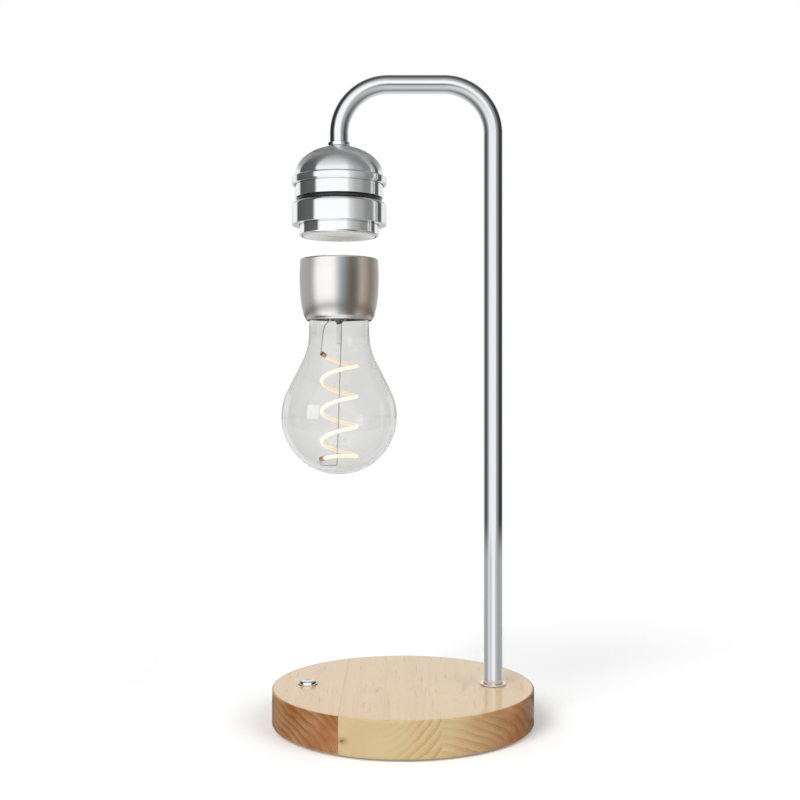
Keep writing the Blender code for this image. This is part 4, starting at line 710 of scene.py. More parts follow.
def chrome_finish(name, look, axis, grooves=0.1, satin=None):
    """Polished metal with fine turning lines about its axis and a faint haze where it was handled.

    Where it turns satin, a lower and an upper height are given and the roughness that is added between them.
    """
    nodes = Finish(name)
    radius, height = round_axis(nodes, axis)
    lines = nodes.grain((radius, height, 0.0), (9000, 9000, 0))
    haze = nodes.noise(nodes.place(), 90.0, 3.0, 0.6)
    specks = nodes.step(nodes.noise(nodes.place(), 1400.0, 1.0), 0.66, 0.8)
    rough = look.chrome_roughness + (haze - 0.5) * 0.05 + (lines - 0.5) * 0.04 + specks * 0.05
    if satin:
        low, high, added = satin
        rough = rough + nodes.step(height, low, high) * added
    return nodes.done(
        Base_Color=nodes.mix(haze * 0.1 + specks * 0.05, look.chrome, (0.72, 0.73, 0.75)), Metallic=1.0,
        Roughness=rough, Normal=nodes.bump(lines, grooves, 0.00001),
    )


def tube_finish(look):
    """Polished steel tube with drawing lines along it and soft patches left by the polishing wheel."""
    nodes = Finish("polished steel tube")
    around, length, _ = nodes.parts(nodes.make("ShaderNodeUVMap"))
    lines = nodes.grain((around, length, 0.0), (160, 18, 0), 3.0, 0.6)
    patches = nodes.grain((around, length, 0.0), (6, 60, 0))
    return nodes.done(
        Base_Color=nodes.mix(0.3 + patches * 0.14, look.chrome, (0.66, 0.67, 0.69)), Metallic=1.0,
        Roughness=look.chrome_roughness * 0.9 + (lines - 0.5) * 0.05 + (patches - 0.5) * 0.05,
        Normal=nodes.bump(lines, 0.08, 0.00002),
    )


def satin_finish(look, inside):
    """Aluminium turned and then blasted, which shows fine rings under an even sheen.

    From this distance along the outline it is the cap's inside, which is painted dark as shade in the recess.
    """
    nodes = Finish("satin aluminium")
    radius, height = round_axis(nodes, HEAD_AXIS)
    lines = nodes.grain((radius, height, 0.0), (5200, 5200, 0), 3.0, 0.6)
    grain = nodes.noise(nodes.place(), 5200.0, 1.0)
    cloud = nodes.noise(nodes.place(), 45.0, 2.0)
    _, along, _ = nodes.parts(nodes.make("ShaderNodeUVMap"))
    # Painted shade: past the outer side the cap's inside is dark, less metallic and rougher
    dark = nodes.step(along, inside, inside + FINE_EDGE)
    outer = nodes.mix(lines * 0.14 + cloud * 0.1, look.satin, (0.66, 0.64, 0.62))
    inner = nodes.mix(cloud, (0.1, 0.09, 0.08), (0.2, 0.18, 0.16))
    rough = look.satin_roughness + (lines - 0.5) * 0.06 + (cloud - 0.5) * 0.06
    return nodes.done(
        Base_Color=nodes.mix(dark, outer, inner), Metallic=1 - dark * 0.6,
        Roughness=nodes.maths("MAXIMUM", rough, dark * 0.6),
        Normal=nodes.bump(lines * 0.3 + grain * 0.7, 0.1, 0.00002),
    )


def plated_finish(name, colour, roughness=0.32):
    """Plated or bare metal of a small part, a little uneven and dulled in patches."""
    nodes = Finish(name)
    cloud = nodes.noise(nodes.place(), 600.0, 3.0, 0.6)
    grain = nodes.noise(nodes.place(), 6000.0, 1.0)
    darker = tuple(0.6 * channel for channel in colour)
    return nodes.done(
        Base_Color=nodes.mix((cloud - 0.2) * 0.5, colour, darker), Metallic=1.0,
        Roughness=roughness + (cloud - 0.5) * 0.2, Normal=nodes.bump(grain, 0.15, 0.00002),
    )


def sheet_finish(look):
    """Cold-rolled sheet steel with the direction of the rolling and a few scuffs."""
    nodes = Finish("rolled sheet steel")
    x, y, z = nodes.parts(nodes.place())
    rolling = nodes.grain((x, y, z), (900, 22, 40), 3.0, 0.6)
    slanted = nodes.joined(x * 60 + y * 50, y * 500 - x * 300, 0.0)
    scuffs = nodes.step(nodes.noise(slanted, 1.0, 2.0), 0.68, 0.8)
    colour = nodes.mix(rolling * 0.5, (0.5, 0.5, 0.505), (0.36, 0.36, 0.37))
    return nodes.done(
        Base_Color=nodes.mix(scuffs * 0.4, colour, look.fastener), Metallic=1.0,
        Roughness=0.38 + rolling * 0.15, Normal=nodes.bump(rolling + scuffs, 0.15, 0.00002),
    )


def moulded_finish(name, colour, roughness, grain_scale=2600.0, grain=0.15):
    """Moulded plastic or rubber with the fine grain of its tool and slight clouds in the colour."""
    nodes = Finish(name)
    cloud = nodes.noise(nodes.place(), 180.0, 3.0)
    skin = nodes.noise(nodes.place(), grain_scale, 2.0, 0.6)
    darker = tuple(0.82 * channel for channel in colour)
    return nodes.done(
        Base_Color=nodes.mix(cloud * 0.7, colour, darker), Roughness=roughness + (skin - 0.5) * 0.16,
        Normal=nodes.bump(skin, grain, 0.00004),
    )


def board_finish():
    """Green solder resist over copper tracks, which show as paler, slightly raised lines."""
    nodes = Finish("solder resist")
    place = nodes.place()
    black, white = (0, 0, 0), (1, 1, 1)
    grid = nodes.make(
        "ShaderNodeTexBrick", {"offset": 0.4, "squash": 0.7, "squash_frequency": 3},
        {
            "Vector": place, "Scale": 420.0, "Mortar Size": 0.09,
            "Color1": black, "Color2": black, "Mortar": white,
        },
    )
    tracks = grid * nodes.step(nodes.noise(place, 190.0, 1.0), 0.42, 0.5)
    spots = nodes.make("ShaderNodeTexVoronoi", values={"Vector": place, "Scale": 230.0})
    pads = 1 - nodes.step(spots, 0.13, 0.17)
    colour = nodes.mix(tracks * 0.6, (0.012, 0.105, 0.045), (0.03, 0.2, 0.08))
    return nodes.done(
        Base_Color=nodes.mix(pads, colour, (0.62, 0.6, 0.56)), Roughness=0.34 + pads * 0.1, Metallic=pads,
        Normal=nodes.bump(nodes.maths("MAXIMUM", tracks, pads), 0.3, 0.00005),
    )


def winding_finish():
    """Enamelled copper wire, its layers shown by fine ridges, with painted shade darkening the grooves
    between them.
    """
    nodes = Finish("enamelled winding")
    radius, height = round_axis(nodes, HEAD_AXIS)
    ridge = nodes.maths("ABSOLUTE", nodes.maths("SINE", (height + radius) * (pi / WINDING_PITCH)))
    tone = nodes.noise(nodes.place(), 220.0, 2.0)
    # Painted shade: the colour darkens in the grooves between the turns
    return nodes.done(
        Base_Color=nodes.mix(tone * 0.6 + (1 - ridge) * 0.3, (0.62, 0.26, 0.1), (0.3, 0.09, 0.03)),
        Metallic=1.0, Roughness=0.3 + tone * 0.1, Normal=nodes.bump(ridge, 0.5, 0.0001),
    )


def glass_finish(look, name, ripple):
    """Clear blown glass with the slight ripple that blowing leaves."""
    nodes = Finish(name)
    wave = nodes.noise(nodes.place(), 55.0, 1.0)
    film = nodes.noise(nodes.place(), 30.0, 3.0, 0.6)
    return nodes.done(
        Base_Color=look.glass, Transmission_Weight=1.0, IOR=1.46,
        Roughness=nodes.step(film, 0.62, 1.0) * 0.03, Normal=nodes.bump(wave, ripple, 0.0004),
    )


def filament_finish(look):
    """Phosphor over a string of light-emitting chips: bright and pale outside, warmer inside the turns."""
    nodes = Finish("glowing phosphor")
    around, along, _ = nodes.parts(nodes.make("ShaderNodeUVMap"))
    outward = nodes.maths("COSINE", around * (2 * pi)) * 0.5 + 0.5
    chips = nodes.maths("COSINE", along * (2 * pi / CHIP_SPACING)) * 0.5 + 0.5
    glow = nodes.mix(nodes.step(outward, 0.12, 0.55), look.glow_inside, look.glow_outside)
    skin = nodes.noise(nodes.place(), 3000.0, 2.0)
    return nodes.done(
        Base_Color=nodes.mix(skin * 0.4, (0.5, 0.4, 0.22), (0.42, 0.32, 0.16)), Roughness=0.5 + skin * 0.1,
        Emission_Color=nodes.mix(chips * 0.08, glow, (1.0, 0.8, 0.5)), Emission_Strength=look.glow_strength,
        Normal=nodes.bump(skin, 0.2, 0.00005),
    )


def surface(points, closed=False, wrap=True):
    """A mesh over a grid of points, closed round its columns, and round its rows too where it is closed.

    The faces look outwards where the rows run down an upright piece and the columns turn anticlockwise seen
    from above. Its UV map holds the share of the way round and the distance along the rows in metres.
    """
    rows, columns = points.shape[:2]
    row = np.arange(rows if closed else rows - 1)
    column = np.arange(columns if wrap else columns - 1)
    row, column = np.meshgrid(row, column, indexing="ij")
    below = (row + 1) % rows
    beside = (column + 1) % columns
    corners = np.stack(
        [row * columns + column, below * columns + column, below * columns + beside, row * columns + beside],
        axis=-1,
    ).reshape(-1, 4)
    mesh = bpy.data.meshes.new("surface")
    mesh.from_pydata(points.reshape(-1, 3), [], corners)
    steps = np.linalg.norm(np.diff(points, axis=0, append=points[:1]), axis=2).max(axis=1)
    distance = np.concatenate([[0], np.cumsum(steps)])
    share = np.stack([column, column, column + 1, column + 1], axis=-1) / columns
    along = np.stack([distance[row], distance[row + 1], distance[row + 1], distance[row]], axis=-1)
    layer = mesh.uv_layers.new(name="surface")
    layer.data.foreach_set("uv", np.stack([share, along], axis=-1).astype(np.float32).ravel())
    return settled(mesh)


def settled(mesh):
    """The mesh with its poles merged and its round parts shaded smooth."""
    work = bmesh.new()
    work.from_mesh(mesh)
    bmesh.ops.remove_doubles(work, verts=work.verts, dist=MERGE_DISTANCE)
    bmesh.ops.dissolve_degenerate(work, edges=work.edges, dist=MERGE_DISTANCE)
    work.to_mesh(mesh)
    work.free()
    mesh.shade_smooth()
    mesh.set_sharp_from_angle(angle=SHARP_ANGLE)
    return mesh


def turned(outline, axis=(0.0, 0.0), columns=HEAD_COLUMNS, closed=False):
    """Turns an outline about an upright axis: x = axis + radius cos a, y = axis + radius sin a."""
    outline = np.asarray(outline, float)
    angle = np.linspace(0, 2 * pi, columns, endpoint=False)
    points = np.empty((len(outline), columns, 3))
    points[..., 0] = axis[0] + outline[:, :1] * np.cos(angle)
    points[..., 1] = axis[1] + outline[:, :1] * np.sin(angle)
    points[..., 2] = outline[:, 1:]
    return surface(points, closed)


def lying(radius, depth, centre, columns):
    """Turns radii, which may change with the angle, about the line through a point that runs to the back.

    Row by row: x = centre + radius cos a, z = centre + radius sin a, y = depth.
    """
    angle = np.linspace(0, 2 * pi, columns, endpoint=False)
    radius = np.broadcast_to(radius, (len(radius), columns))
    points = np.empty((*radius.shape, 3))
    points[..., 0] = centre.x + radius * np.cos(angle)
    points[..., 1] = np.asarray(depth)[:, None]
    points[..., 2] = centre.z + radius * np.sin(angle)
    return surface(points)


def fillet(before, corner, after, rounding):
    """Points of an arc that rounds a corner, with one more point on each side that keeps the flats flat.

    The arc's middle lies on the bisector, and its points are the two end spokes blended by sines.
    """
    before, corner, after = (np.asarray(point, float)[:2] for point in (before, corner, after))
    first = (before - corner) / np.linalg.norm(before - corner)
    second = (after - corner) / np.linalg.norm(after - corner)
    half = acos(np.clip(first @ second, -1, 1)) / 2
    reach = rounding / tan(half)
    middle_point = corner + (first + second) / np.linalg.norm(first + second) * rounding / np.sin(half)
    start = corner + first * reach - middle_point
    end = corner + second * reach - middle_point
    sweep = pi - 2 * half
    share = np.linspace(0, 1, EDGE_STEPS + 1)[:, None]
    spokes = (np.sin((1 - share) * sweep) * start + np.sin(share * sweep) * end) / np.sin(sweep)
    lengths = (np.linalg.norm(before - corner), np.linalg.norm(after - corner))
    before_it, after_it = (reach + min(0.4 * rounding, 0.5 * (length - reach)) for length in lengths)
    return [corner + first * before_it, *(middle_point + spokes), corner + second * after_it]


def rounded(corners, closed=False):
    """An outline from (radius, height) corners, of which those with a third number are rounded by it."""
    points = []
    for index, corner in enumerate(corners):
        if len(corner) == 2:
            points.append(np.asarray(corner, float))
        else:
            after = corners[(index + 1) % len(corners)]
            points.extend(fillet(corners[index - 1], corner, after, corner[2]))
    return points


def unit(vectors):
    return vectors / np.linalg.norm(vectors, axis=-1, keepdims=True)


def frames(path, side):
    """The direction of a path at each point, and two vectors square to it, of which one leans to a side."""
    along = unit(np.gradient(path, axis=0))
    side = np.broadcast_to(np.asarray(side, float), path.shape)
    across = unit(side - np.sum(side * along, axis=1, keepdims=True) * along)
    return along, across, np.cross(across, along)


def carried(path, across, other, radius, columns):
    """A ring of points round each point of a path: path + radius (across cos a + other sin a)."""
    angle = np.linspace(0, 2 * pi, columns, endpoint=False)[None, :, None]
    radius = np.broadcast_to(radius, len(path))[:, None, None]
    return path[:, None] + radius * (np.cos(angle) * across[:, None] + np.sin(angle) * other[:, None])


def bar(path, diameter, edge, side, columns=WIRE_COLUMNS):
    """A round bar carried along a path, with its ends rounded by an edge.

    At an end the ring at angle a stands edge (1 - cos a) in and has radius (radius - edge + edge sin a).
    """
    path = np.asarray(path, float)
    along, across, other = frames(path, side)
    bend = np.linspace(0, pi / 2, EDGE_STEPS)
    inset = np.concatenate([[0], edge * (1 - np.cos(bend))])[:, None]
    size = np.concatenate([[0], diameter / 2 - edge + edge * np.sin(bend)])
    start = path[0] + inset * along[0]
    end = path[-1] - inset[::-1] * along[-1]
    line = np.concatenate([start, path[1:-1], end])
    ends = len(inset)
    last = len(path) - 1
    repeat = np.concatenate([np.zeros(ends, int), np.arange(1, last), np.full(ends, last)])
    radius = np.concatenate([size, np.full(last - 1, diameter / 2), size[::-1]])
    return surface(carried(line, across[repeat], other[repeat], radius, columns))


def pipe(path, diameter, wall, side, columns=SMALL_COLUMNS):
    """A hollow tube carried along a path, outside down it and inside back up, so that it closes."""
    path = np.asarray(path, float)
    _, across, other = frames(path, side)
    outside = carried(path, across, other, diameter / 2, columns)
    inside = carried(path, across, other, diameter / 2 - wall, columns)
    return surface(np.concatenate([outside, inside[::-1]]), closed=True)


def evenly(path, count):
    """The same route with this many points at equal distances along it."""
    path = np.asarray(path, float)
    distance = np.concatenate([[0], np.cumsum(np.linalg.norm(np.diff(path, axis=0), axis=1))])
    marks = np.linspace(0, distance[-1], count)
    return np.stack([np.interp(marks, distance, path[:, axis]) for axis in range(3)], axis=1)


def softened(path, bend):
    """A route through points whose corners are replaced by parabolas that start and end a bend away."""
    path = [np.asarray(point, float) for point in path]
    points = [path[0]]
    for before, corner, after in zip(path, path[1:], path[2:]):
        start = corner + unit(before - corner) * min(bend, np.linalg.norm(before - corner) / 2)
        end = corner + unit(after - corner) * min(bend, np.linalg.norm(after - corner) / 2)
        share = np.linspace(0, 1, CORNER_STEPS)[:, None]
        points.extend((1 - share) ** 2 * start + 2 * share * (1 - share) * corner + share**2 * end)
    return np.array([*points, path[-1]])


def block(low, high):
    """A box mesh between two corners, for cutting."""
    mesh = bpy.data.meshes.new("block")
    low, high = Vector(low), Vector(high)
    work = bmesh.new()
    shape = Matrix.Translation((low + high) / 2) @ Matrix.Diagonal((*(high - low), 1))
    bmesh.ops.create_cube(work, size=1, matrix=shape)
    work.to_mesh(mesh)
    work.free()
    return mesh


def rod(radius, low, high):
    """A thin upright rod about the origin's axis, for cutting."""
    return turned([(0, high), (radius, high), (radius, low), (0, low)], columns=WIRE_COLUMNS)


def moved(mesh, node):
    """A copy of a mesh about the origin's axis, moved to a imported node's."""
    place = middle(node)
    twin = mesh.copy()
    twin.transform(Matrix.Translation((place.x, place.y, 0)))
    return twin


def cut(mesh, tools):
    """The mesh with each tool cut out of it."""
    body = new_object("body", mesh)
    helpers = []
    for tool in tools:
        helper = new_object("tool", tool)
        modifier = body.modifiers.new("cut", "BOOLEAN")
        modifier.operation = "DIFFERENCE"
        modifier.solver = "EXACT"
        modifier.object = helper
        helpers.append(helper)
    bpy.context.view_layer.update()
    result = bpy.data.meshes.new_from_object(body.evaluated_get(bpy.context.evaluated_depsgraph_get()))
    for helper in [body, *helpers]:
        bpy.data.objects.remove(helper, do_unlink=True)
    return settled(result)


def place_piece(name, mesh, material, slot, *nodes):
    """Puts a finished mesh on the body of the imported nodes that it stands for."""
    old = bpy.data.objects.get(name)
    if old is not None:
        bpy.data.objects.remove(old, do_unlink=True)
    piece = new_object(name, mesh)
    mesh.name = name
    mesh.materials.clear()
    mesh.materials.append(material)
    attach(piece, frame["nodes"][nodes[0]]["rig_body"])
    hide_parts(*nodes)
    return piece


def place_shell(name, corners, material, slot, node, axis=HEAD_AXIS, columns=HEAD_COLUMNS):
    """Turns a hollow piece from the corners of its section."""
    mesh = turned(rounded(corners, closed=True), axis, columns, closed=True)
    place_piece(name, mesh, material, slot, node)


def place_disc(name, edges, material, slot, node):
    """Turns a solid disc in its node's place, with its upper and its lower edge rounded."""
    low, high, radius = extent(node)
    outline = rounded([(0, high), (radius, high, edges[0]), (radius, low, edges[1]), (0, low)])
    place_piece(name, turned(outline, HEAD_AXIS), material, slot, node)


def dress(material, *nodes):
    """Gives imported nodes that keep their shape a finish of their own."""
    for name in nodes:
        for slot in frame["nodes"][name].material_slots:
            slot.material = material


def known(build, name, *values):
    """The material of this name, built if it isn't there yet."""
    return bpy.data.materials.get(name) or build(name, *values)


def zinc_plate(look):
    return known(plated_finish, "zinc-plated steel", look.fastener)


def spring_steel():
    return known(plated_finish, "spring steel", (0.46, 0.46, 0.47), 0.26)


def white_plastic():
    return known(moulded_finish, "white plastic", (0.93, 0.925, 0.9), 0.38, 2600.0, 0.12)


def black_plastic():
    return known(moulded_finish, "black plastic", (0.018, 0.018, 0.019), 0.36, 3200.0, 0.12)


def upper_holes(top, ceiling):
    """Tools for the holes of the tube and the button, with their upper edges broken."""
    start, end = top + OVERRUN, ceiling - OVERRUN
    tools = []
    for axis, radius in ((POST_AXIS, TUBE_RADIUS), (BUTTON_AXIS, width("button_cap") / 2)):
        radius += CLEARANCE
        flare = radius + HOLE_CHAMFER + OVERRUN
        outline = [(0, start), (flare, start), (radius, top - HOLE_CHAMFER), (radius, end), (0, end)]
        tools.append(turned(outline, axis, SMALL_COLUMNS))
    return tools


def screw_holes(ledge, ceiling):
    """Tools for the blind holes of the plate's screws and of those that bite into the top."""
    tip = levels("plate_screw_1")[1]
    plate_hole = rod(SCREW_SHANK / 2 + CLEARANCE, ledge - OVERRUN, tip + CLEARANCE)
    tip = ceiling + SMALL_SCREW_BITE
    small_hole = rod(SMALL_SCREW / 2 + CLEARANCE, ceiling - OVERRUN, tip + CLEARANCE)
    tools = [moved(plate_hole, screw) for screw in PLATE_SCREWS]
    return tools + [moved(small_hole, screw) for screw in WOOD_SCREWS]


def inlet_holes():
    """Tools for the slot that takes the inlet and for the round recess in front of it."""
    low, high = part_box("dc_inlet")
    gap = Vector((CLEARANCE,) * 3)
    start = (low.x - CLEARANCE, low.y - OVERRUN, levels("base_plate")[0])
    radius = INLET_RECESS / 2
    wide = radius + HOLE_CHAMFER
    outer = BASE_RADIUS + OVERRUN
    recess = lying(
        np.array([[0], [radius], [radius], [wide], [wide], [0]]),
        [start[1], start[1], BASE_RADIUS - 2 * HOLE_CHAMFER, BASE_RADIUS - HOLE_CHAMFER, outer, outer],
        middle("dc_inlet"), SMALL_COLUMNS,
    )
    return [block(start, high + gap), recess]


def build_wood_base(look):
    """The turned wooden disc with its pocket, its holes with broken edges, and the slot of the inlet."""
    bottom, top = levels("wood_base")
    ledge = levels("base_plate")[1] + LEDGE_RISE
    ceiling = top - TOP_WALL
    outline = rounded([
        (0, top),
        (BASE_RADIUS, top, WOOD_ROUNDING),
        (BASE_RADIUS, bottom, WOOD_ROUNDING),
        (BASE_RADIUS - PLATE_RIM, bottom),
        (BASE_RADIUS - PLATE_RIM, ledge),
        (BASE_RADIUS - SIDE_WALL, ledge),
        (BASE_RADIUS - SIDE_WALL, ceiling),
        (0, ceiling),
    ])
    tools = [*upper_holes(top, ceiling), *screw_holes(ledge, ceiling), *inlet_holes()]
    mesh = cut(turned(outline, columns=BASE_COLUMNS), tools)
    place_piece("turned_wood_base", mesh, wood_finish(look), "wood", "wood_base")


def build_plate(look):
    """The sheet-steel plate with its countersunk holes."""
    bottom, top, radius = extent("base_plate")
    outline = rounded([(0, top), (radius, top, SMALL_EDGE), (radius, bottom, SOFT_EDGE), (0, bottom)])
    head = SCREW_HEAD / 2 + CLEARANCE
    shank = SCREW_SHANK / 2 + CLEARANCE
    hole = turned([
        (0, top + OVERRUN), (shank, top + OVERRUN), (shank, bottom + SCREW_HEAD_HEIGHT),
        (head, bottom + SCREW_HEAD_EDGE), (head, bottom - OVERRUN), (0, bottom - OVERRUN),
    ], columns=SMALL_COLUMNS)
    plate = cut(turned(outline, columns=BASE_COLUMNS), [moved(hole, screw) for screw in PLATE_SCREWS])
    place_piece("bottom_plate", plate, sheet_finish(look), "plate_steel", "base_plate")


def build_plate_screws(look):
    """The plate's countersunk screws, with a cross recess in each head."""
    bottom = levels("base_plate")[0]
    tip = levels("plate_screw_1")[1]
    head, shank = SCREW_HEAD / 2, SCREW_SHANK / 2
    outline = rounded([
        (0, tip),
        (shank, tip, SOFT_EDGE),
        (shank, bottom + SCREW_HEAD_HEIGHT),
        (head, bottom + SCREW_HEAD_EDGE),
        (head, bottom),
        (0, bottom),
    ])
    long, short = CROSS_LENGTH / 2, CROSS_WIDTH / 2
    arms = [
        block((-x, -y, bottom - OVERRUN), (x, y, bottom + CROSS_DEPTH))
        for x, y in ((long, short), (short, long))
    ]
    screw = cut(turned(outline, columns=SMALL_COLUMNS), arms)
    for number, node in enumerate(PLATE_SCREWS, 1):
        name = f"countersunk_screw_{number}"
        place_piece(name, moved(screw, node), zinc_plate(look), "fastener_steel", node)


def build_feet():
    """The rubber feet, with a round groove in the sole of each."""
    low, high, radius = extent("rubber_foot_1")
    groove = FOOT_GROOVE_SHARE * radius
    outline = rounded([
        (0, high),
        (radius, high, FINE_EDGE),
        (radius, low, FOOT_EDGE),
        (groove + FOOT_GROOVE, low, FINE_EDGE),
        (groove, low + FOOT_GROOVE),
        (groove - FOOT_GROOVE, low, FINE_EDGE),
        (0, low),
    ])
    rubber = moulded_finish("black rubber", (0.022, 0.022, 0.023), 0.68, 1800.0, 0.3)
    for number in (1, 2, 3, 4):
        node = f"rubber_foot_{number}"
        place = middle(node)
        mesh = turned(outline, (place.x, place.y), SMALL_COLUMNS)
        place_piece(f"foot_pad_{number}", mesh, rubber, "black_rubber", node)


def build_bottom(look):
    """The plate under the base with its countersunk screws, and the feet stuck to it."""
    build_plate(look)
    build_plate_screws(look)
    build_feet()


def build_inlet():
    """The low-voltage inlet: a block with soft corners, a bore in its face and a pin on the bore's floor.

    The block's section is a superellipse: (|cos a| / half width)^n + (|sin a| / half height)^n = radius^-n.
    """
    low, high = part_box("dc_inlet")
    half = (high - low) / 2
    angle = np.linspace(0, 2 * pi, SMALL_COLUMNS, endpoint=False)
    across, upright = np.abs(np.cos(angle) / half.x), np.abs(np.sin(angle) / half.z)
    section = (across**INLET_CORNER + upright**INLET_CORNER) ** (-1 / INLET_CORNER)
    bore, pin = INLET_BORE / 2, INLET_PIN / 2
    bevel = INLET_PIN_BEVEL * pin
    floor = high.y - INLET_BORE_DEPTH
    tip = floor + INLET_PIN_LENGTH
    bend = np.linspace(0, pi / 2, EDGE_STEPS)
    opening, closing = INLET_EDGE * (1 - np.sin(bend)), INLET_EDGE * (1 - np.cos(bend))
    sides = [section - inset for inset in (*opening, *closing)]
    rings = [0, *sides, bore + SOFT_EDGE, bore, bore, pin, pin, pin - bevel, 0]
    depth = [
        low.y, *(low.y + closing), *(high.y - opening), high.y, high.y - SOFT_EDGE, floor, floor, tip - bevel,
        tip, tip,
    ]
    radius = np.array([np.broadcast_to(ring, len(angle)) for ring in rings])
    mesh = lying(radius, depth, middle("dc_inlet"), SMALL_COLUMNS)
    place_piece("inlet_socket", mesh, black_plastic(), "black_plastic", "dc_inlet")


def joint(name):
    """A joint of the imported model."""
    return next(entry for entry in frame["joints"] if entry["name"] == name)


def build_button(look):
    """The bright push button with a slightly dished top, on its stem with the groove of the clip."""
    low, high, radius = extent("button_cap")
    clip_low, clip_high = levels("button_clip")
    stem, groove = BUTTON_STEM / 2, BUTTON_GROOVE / 2
    skirt = high - BUTTON_SKIRT
    outline = rounded([
        (0, high - BUTTON_DISH),
        (BUTTON_DISH_SHARE * radius, high - 0.7 * BUTTON_DISH),
        (radius - 2 * BUTTON_ROUNDING, high),
        (radius, high, BUTTON_ROUNDING),
        (radius, skirt, SMALL_EDGE),
        (stem, skirt),
        (stem, clip_high + CLEARANCE),
        (groove, clip_high + CLEARANCE),
        (groove, clip_low - CLEARANCE),
        (stem, clip_low - CLEARANCE),
        (stem, low, SMALL_EDGE),
        (0, low),
    ])
    mesh = turned(outline, BUTTON_AXIS, RING_COLUMNS)
    chrome = chrome_finish("bright button", look, BUTTON_AXIS)
    place_piece("push_button", mesh, chrome, "chrome", "button_cap")


def build_spring():
    """The button's return spring at its full length; in the lamp it is squeezed from below as the button goes
    down.

    Its line is x = axis + radius cos a, y = radius sin a, and it climbs evenly over its turns.
    """
    low, high = levels("button_spring")
    height = high - low
    radius = (width("button_spring") - SPRING_WIRE) / 2
    share = np.linspace(0, 1, SPRING_TURNS * SMALL_COLUMNS + 1)
    angle = 2 * pi * SPRING_TURNS * share
    line = np.stack([
        middle("button_spring").x + radius * np.cos(angle),
        radius * np.sin(angle),
        low + SPRING_WIRE / 2 + (height - SPRING_WIRE) * share,
    ], axis=1)
    mesh = bar(line, SPRING_WIRE, FINE_EDGE, (0, 0, 1))
    spring = place_piece("return_spring", mesh, spring_steel(), "fastener_steel", "button_spring")
    travel = max(joint("button_press")["range_m"])
    1 - travel / height
    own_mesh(spring)


def arm_route():
    """The middle line of the tube from its foot over both bends to the head.

    A bend's points are its middle + bend radius (cos a, sin a) in the plane of X and Z.
    """
    bottom, top = levels("arm_tube")
    turn = top - TUBE_RADIUS - BEND_RADIUS
    angle = np.linspace(0, pi / 2, BEND_STEPS + 1)
    flat = np.zeros(len(angle))
    out, up = BEND_RADIUS * np.cos(angle), BEND_RADIUS * np.sin(angle)
    right = np.stack([POST_AXIS[0] - BEND_RADIUS + out, flat, turn + up], axis=1)
    left = np.stack([HEAD_AXIS[0] + BEND_RADIUS - up, flat, turn + out], axis=1)
    return np.concatenate([
        [(POST_AXIS[0], 0, bottom)], right, left, [(HEAD_AXIS[0], 0, top - ARM_REACH_DOWN)],
    ])


def build_arm(look):
    """The bent tube and the small flange round its foot."""
    mesh = pipe(arm_route(), 2 * TUBE_RADIUS, TUBE_WALL, (0, 1, 0))
    place_piece("bent_tube", mesh, tube_finish(look), "tube_steel", "arm_tube")
    low, high, radius = extent("post_flange")
    hole = TUBE_RADIUS + CLEARANCE
    chrome = chrome_finish("bright foot ring", look, POST_AXIS)
    place_shell("foot_ring", [
        (radius, high, FLANGE_ROUNDING), (radius, low, FINE_EDGE), (hole, low), (hole, high, FINE_EDGE),
    ], chrome, "chrome", "post_flange", POST_AXIS, RING_COLUMNS)


def build_collar(chrome):
    """The ring that ends the tube on top of the dome."""
    low, high, radius = extent("head_collar")
    hole = TUBE_RADIUS + CLEARANCE
    place_shell("collar_ring", [
        (radius, high, COLLAR_ROUNDING), (radius, low, COLLAR_ROUNDING), (hole, low), (hole, high, FINE_EDGE),
    ], chrome, "chrome", "head_collar", columns=RING_COLUMNS)


def dome_line(half_width, rise, level, steps):
    """The dome's ellipse from the tube's hole down to its widest: half width cos a, rise sin a."""
    angle = np.linspace(acos((TUBE_RADIUS + CLEARANCE) / half_width), 0, steps)
    return np.stack([half_width * np.cos(angle), level + rise * np.sin(angle)], axis=1)


def build_dome(look):
    """The bell with its ledge and its lip, bright at the lip and satin towards the crown."""
    bottom, _, lip = extent("head_dome")
    level = bottom + LIP_HEIGHT
    half = DOME_WIDTH / 2
    seat = width("head_barrel") / 2 + CLEARANCE
    outside = dome_line(half, DOME_RISE, level, DOME_STEPS)
    inside = dome_line(half - HEAD_WALL, DOME_RISE - HEAD_WALL, level, DOME_STEPS // 2)[::-1]
    outside = outside[outside[:, 1] > level + LIP_COVE]
    ledge = level - LIP_LEDGE
    rim = rounded([
        tuple(outside[-1]),
        (half, ledge, LIP_COVE),
        (lip, ledge - LIP_FALL, LIP_TOP_ROUNDING),
        (lip, bottom + LIP_CHAMFER_RISE, LIP_SIDE_ROUNDING),
        (lip - LIP_CHAMFER, bottom, SOFT_EDGE),
        (seat, bottom),
        (seat, bottom + LIP_SEAT),
        (half - HEAD_WALL, bottom + LIP_SEAT),
    ])[1:]
    mesh = turned([*outside, *rim, *inside], HEAD_AXIS, closed=True)
    satin = (ledge, level + 0.5 * DOME_RISE, SATIN_CROWN)
    crown = chrome_finish("satin dome", look, HEAD_AXIS, 0.12, satin)
    place_piece("bell_dome", mesh, crown, "chrome", "head_dome")


def build_barrel(chrome):
    """The barrel under the dome, with its inner flange."""
    low, high, radius = extent("head_barrel")
    inner, flange = radius - BARREL_WALL, FLANGE_HOLE / 2
    place_shell("barrel_shell", [
        (radius, high, SMALL_EDGE), (radius, low, SMALL_EDGE), (flange, low), (flange, low + BARREL_FLANGE),
        (inner, low + BARREL_FLANGE), (inner, high),
    ], chrome, "chrome", "head_barrel")


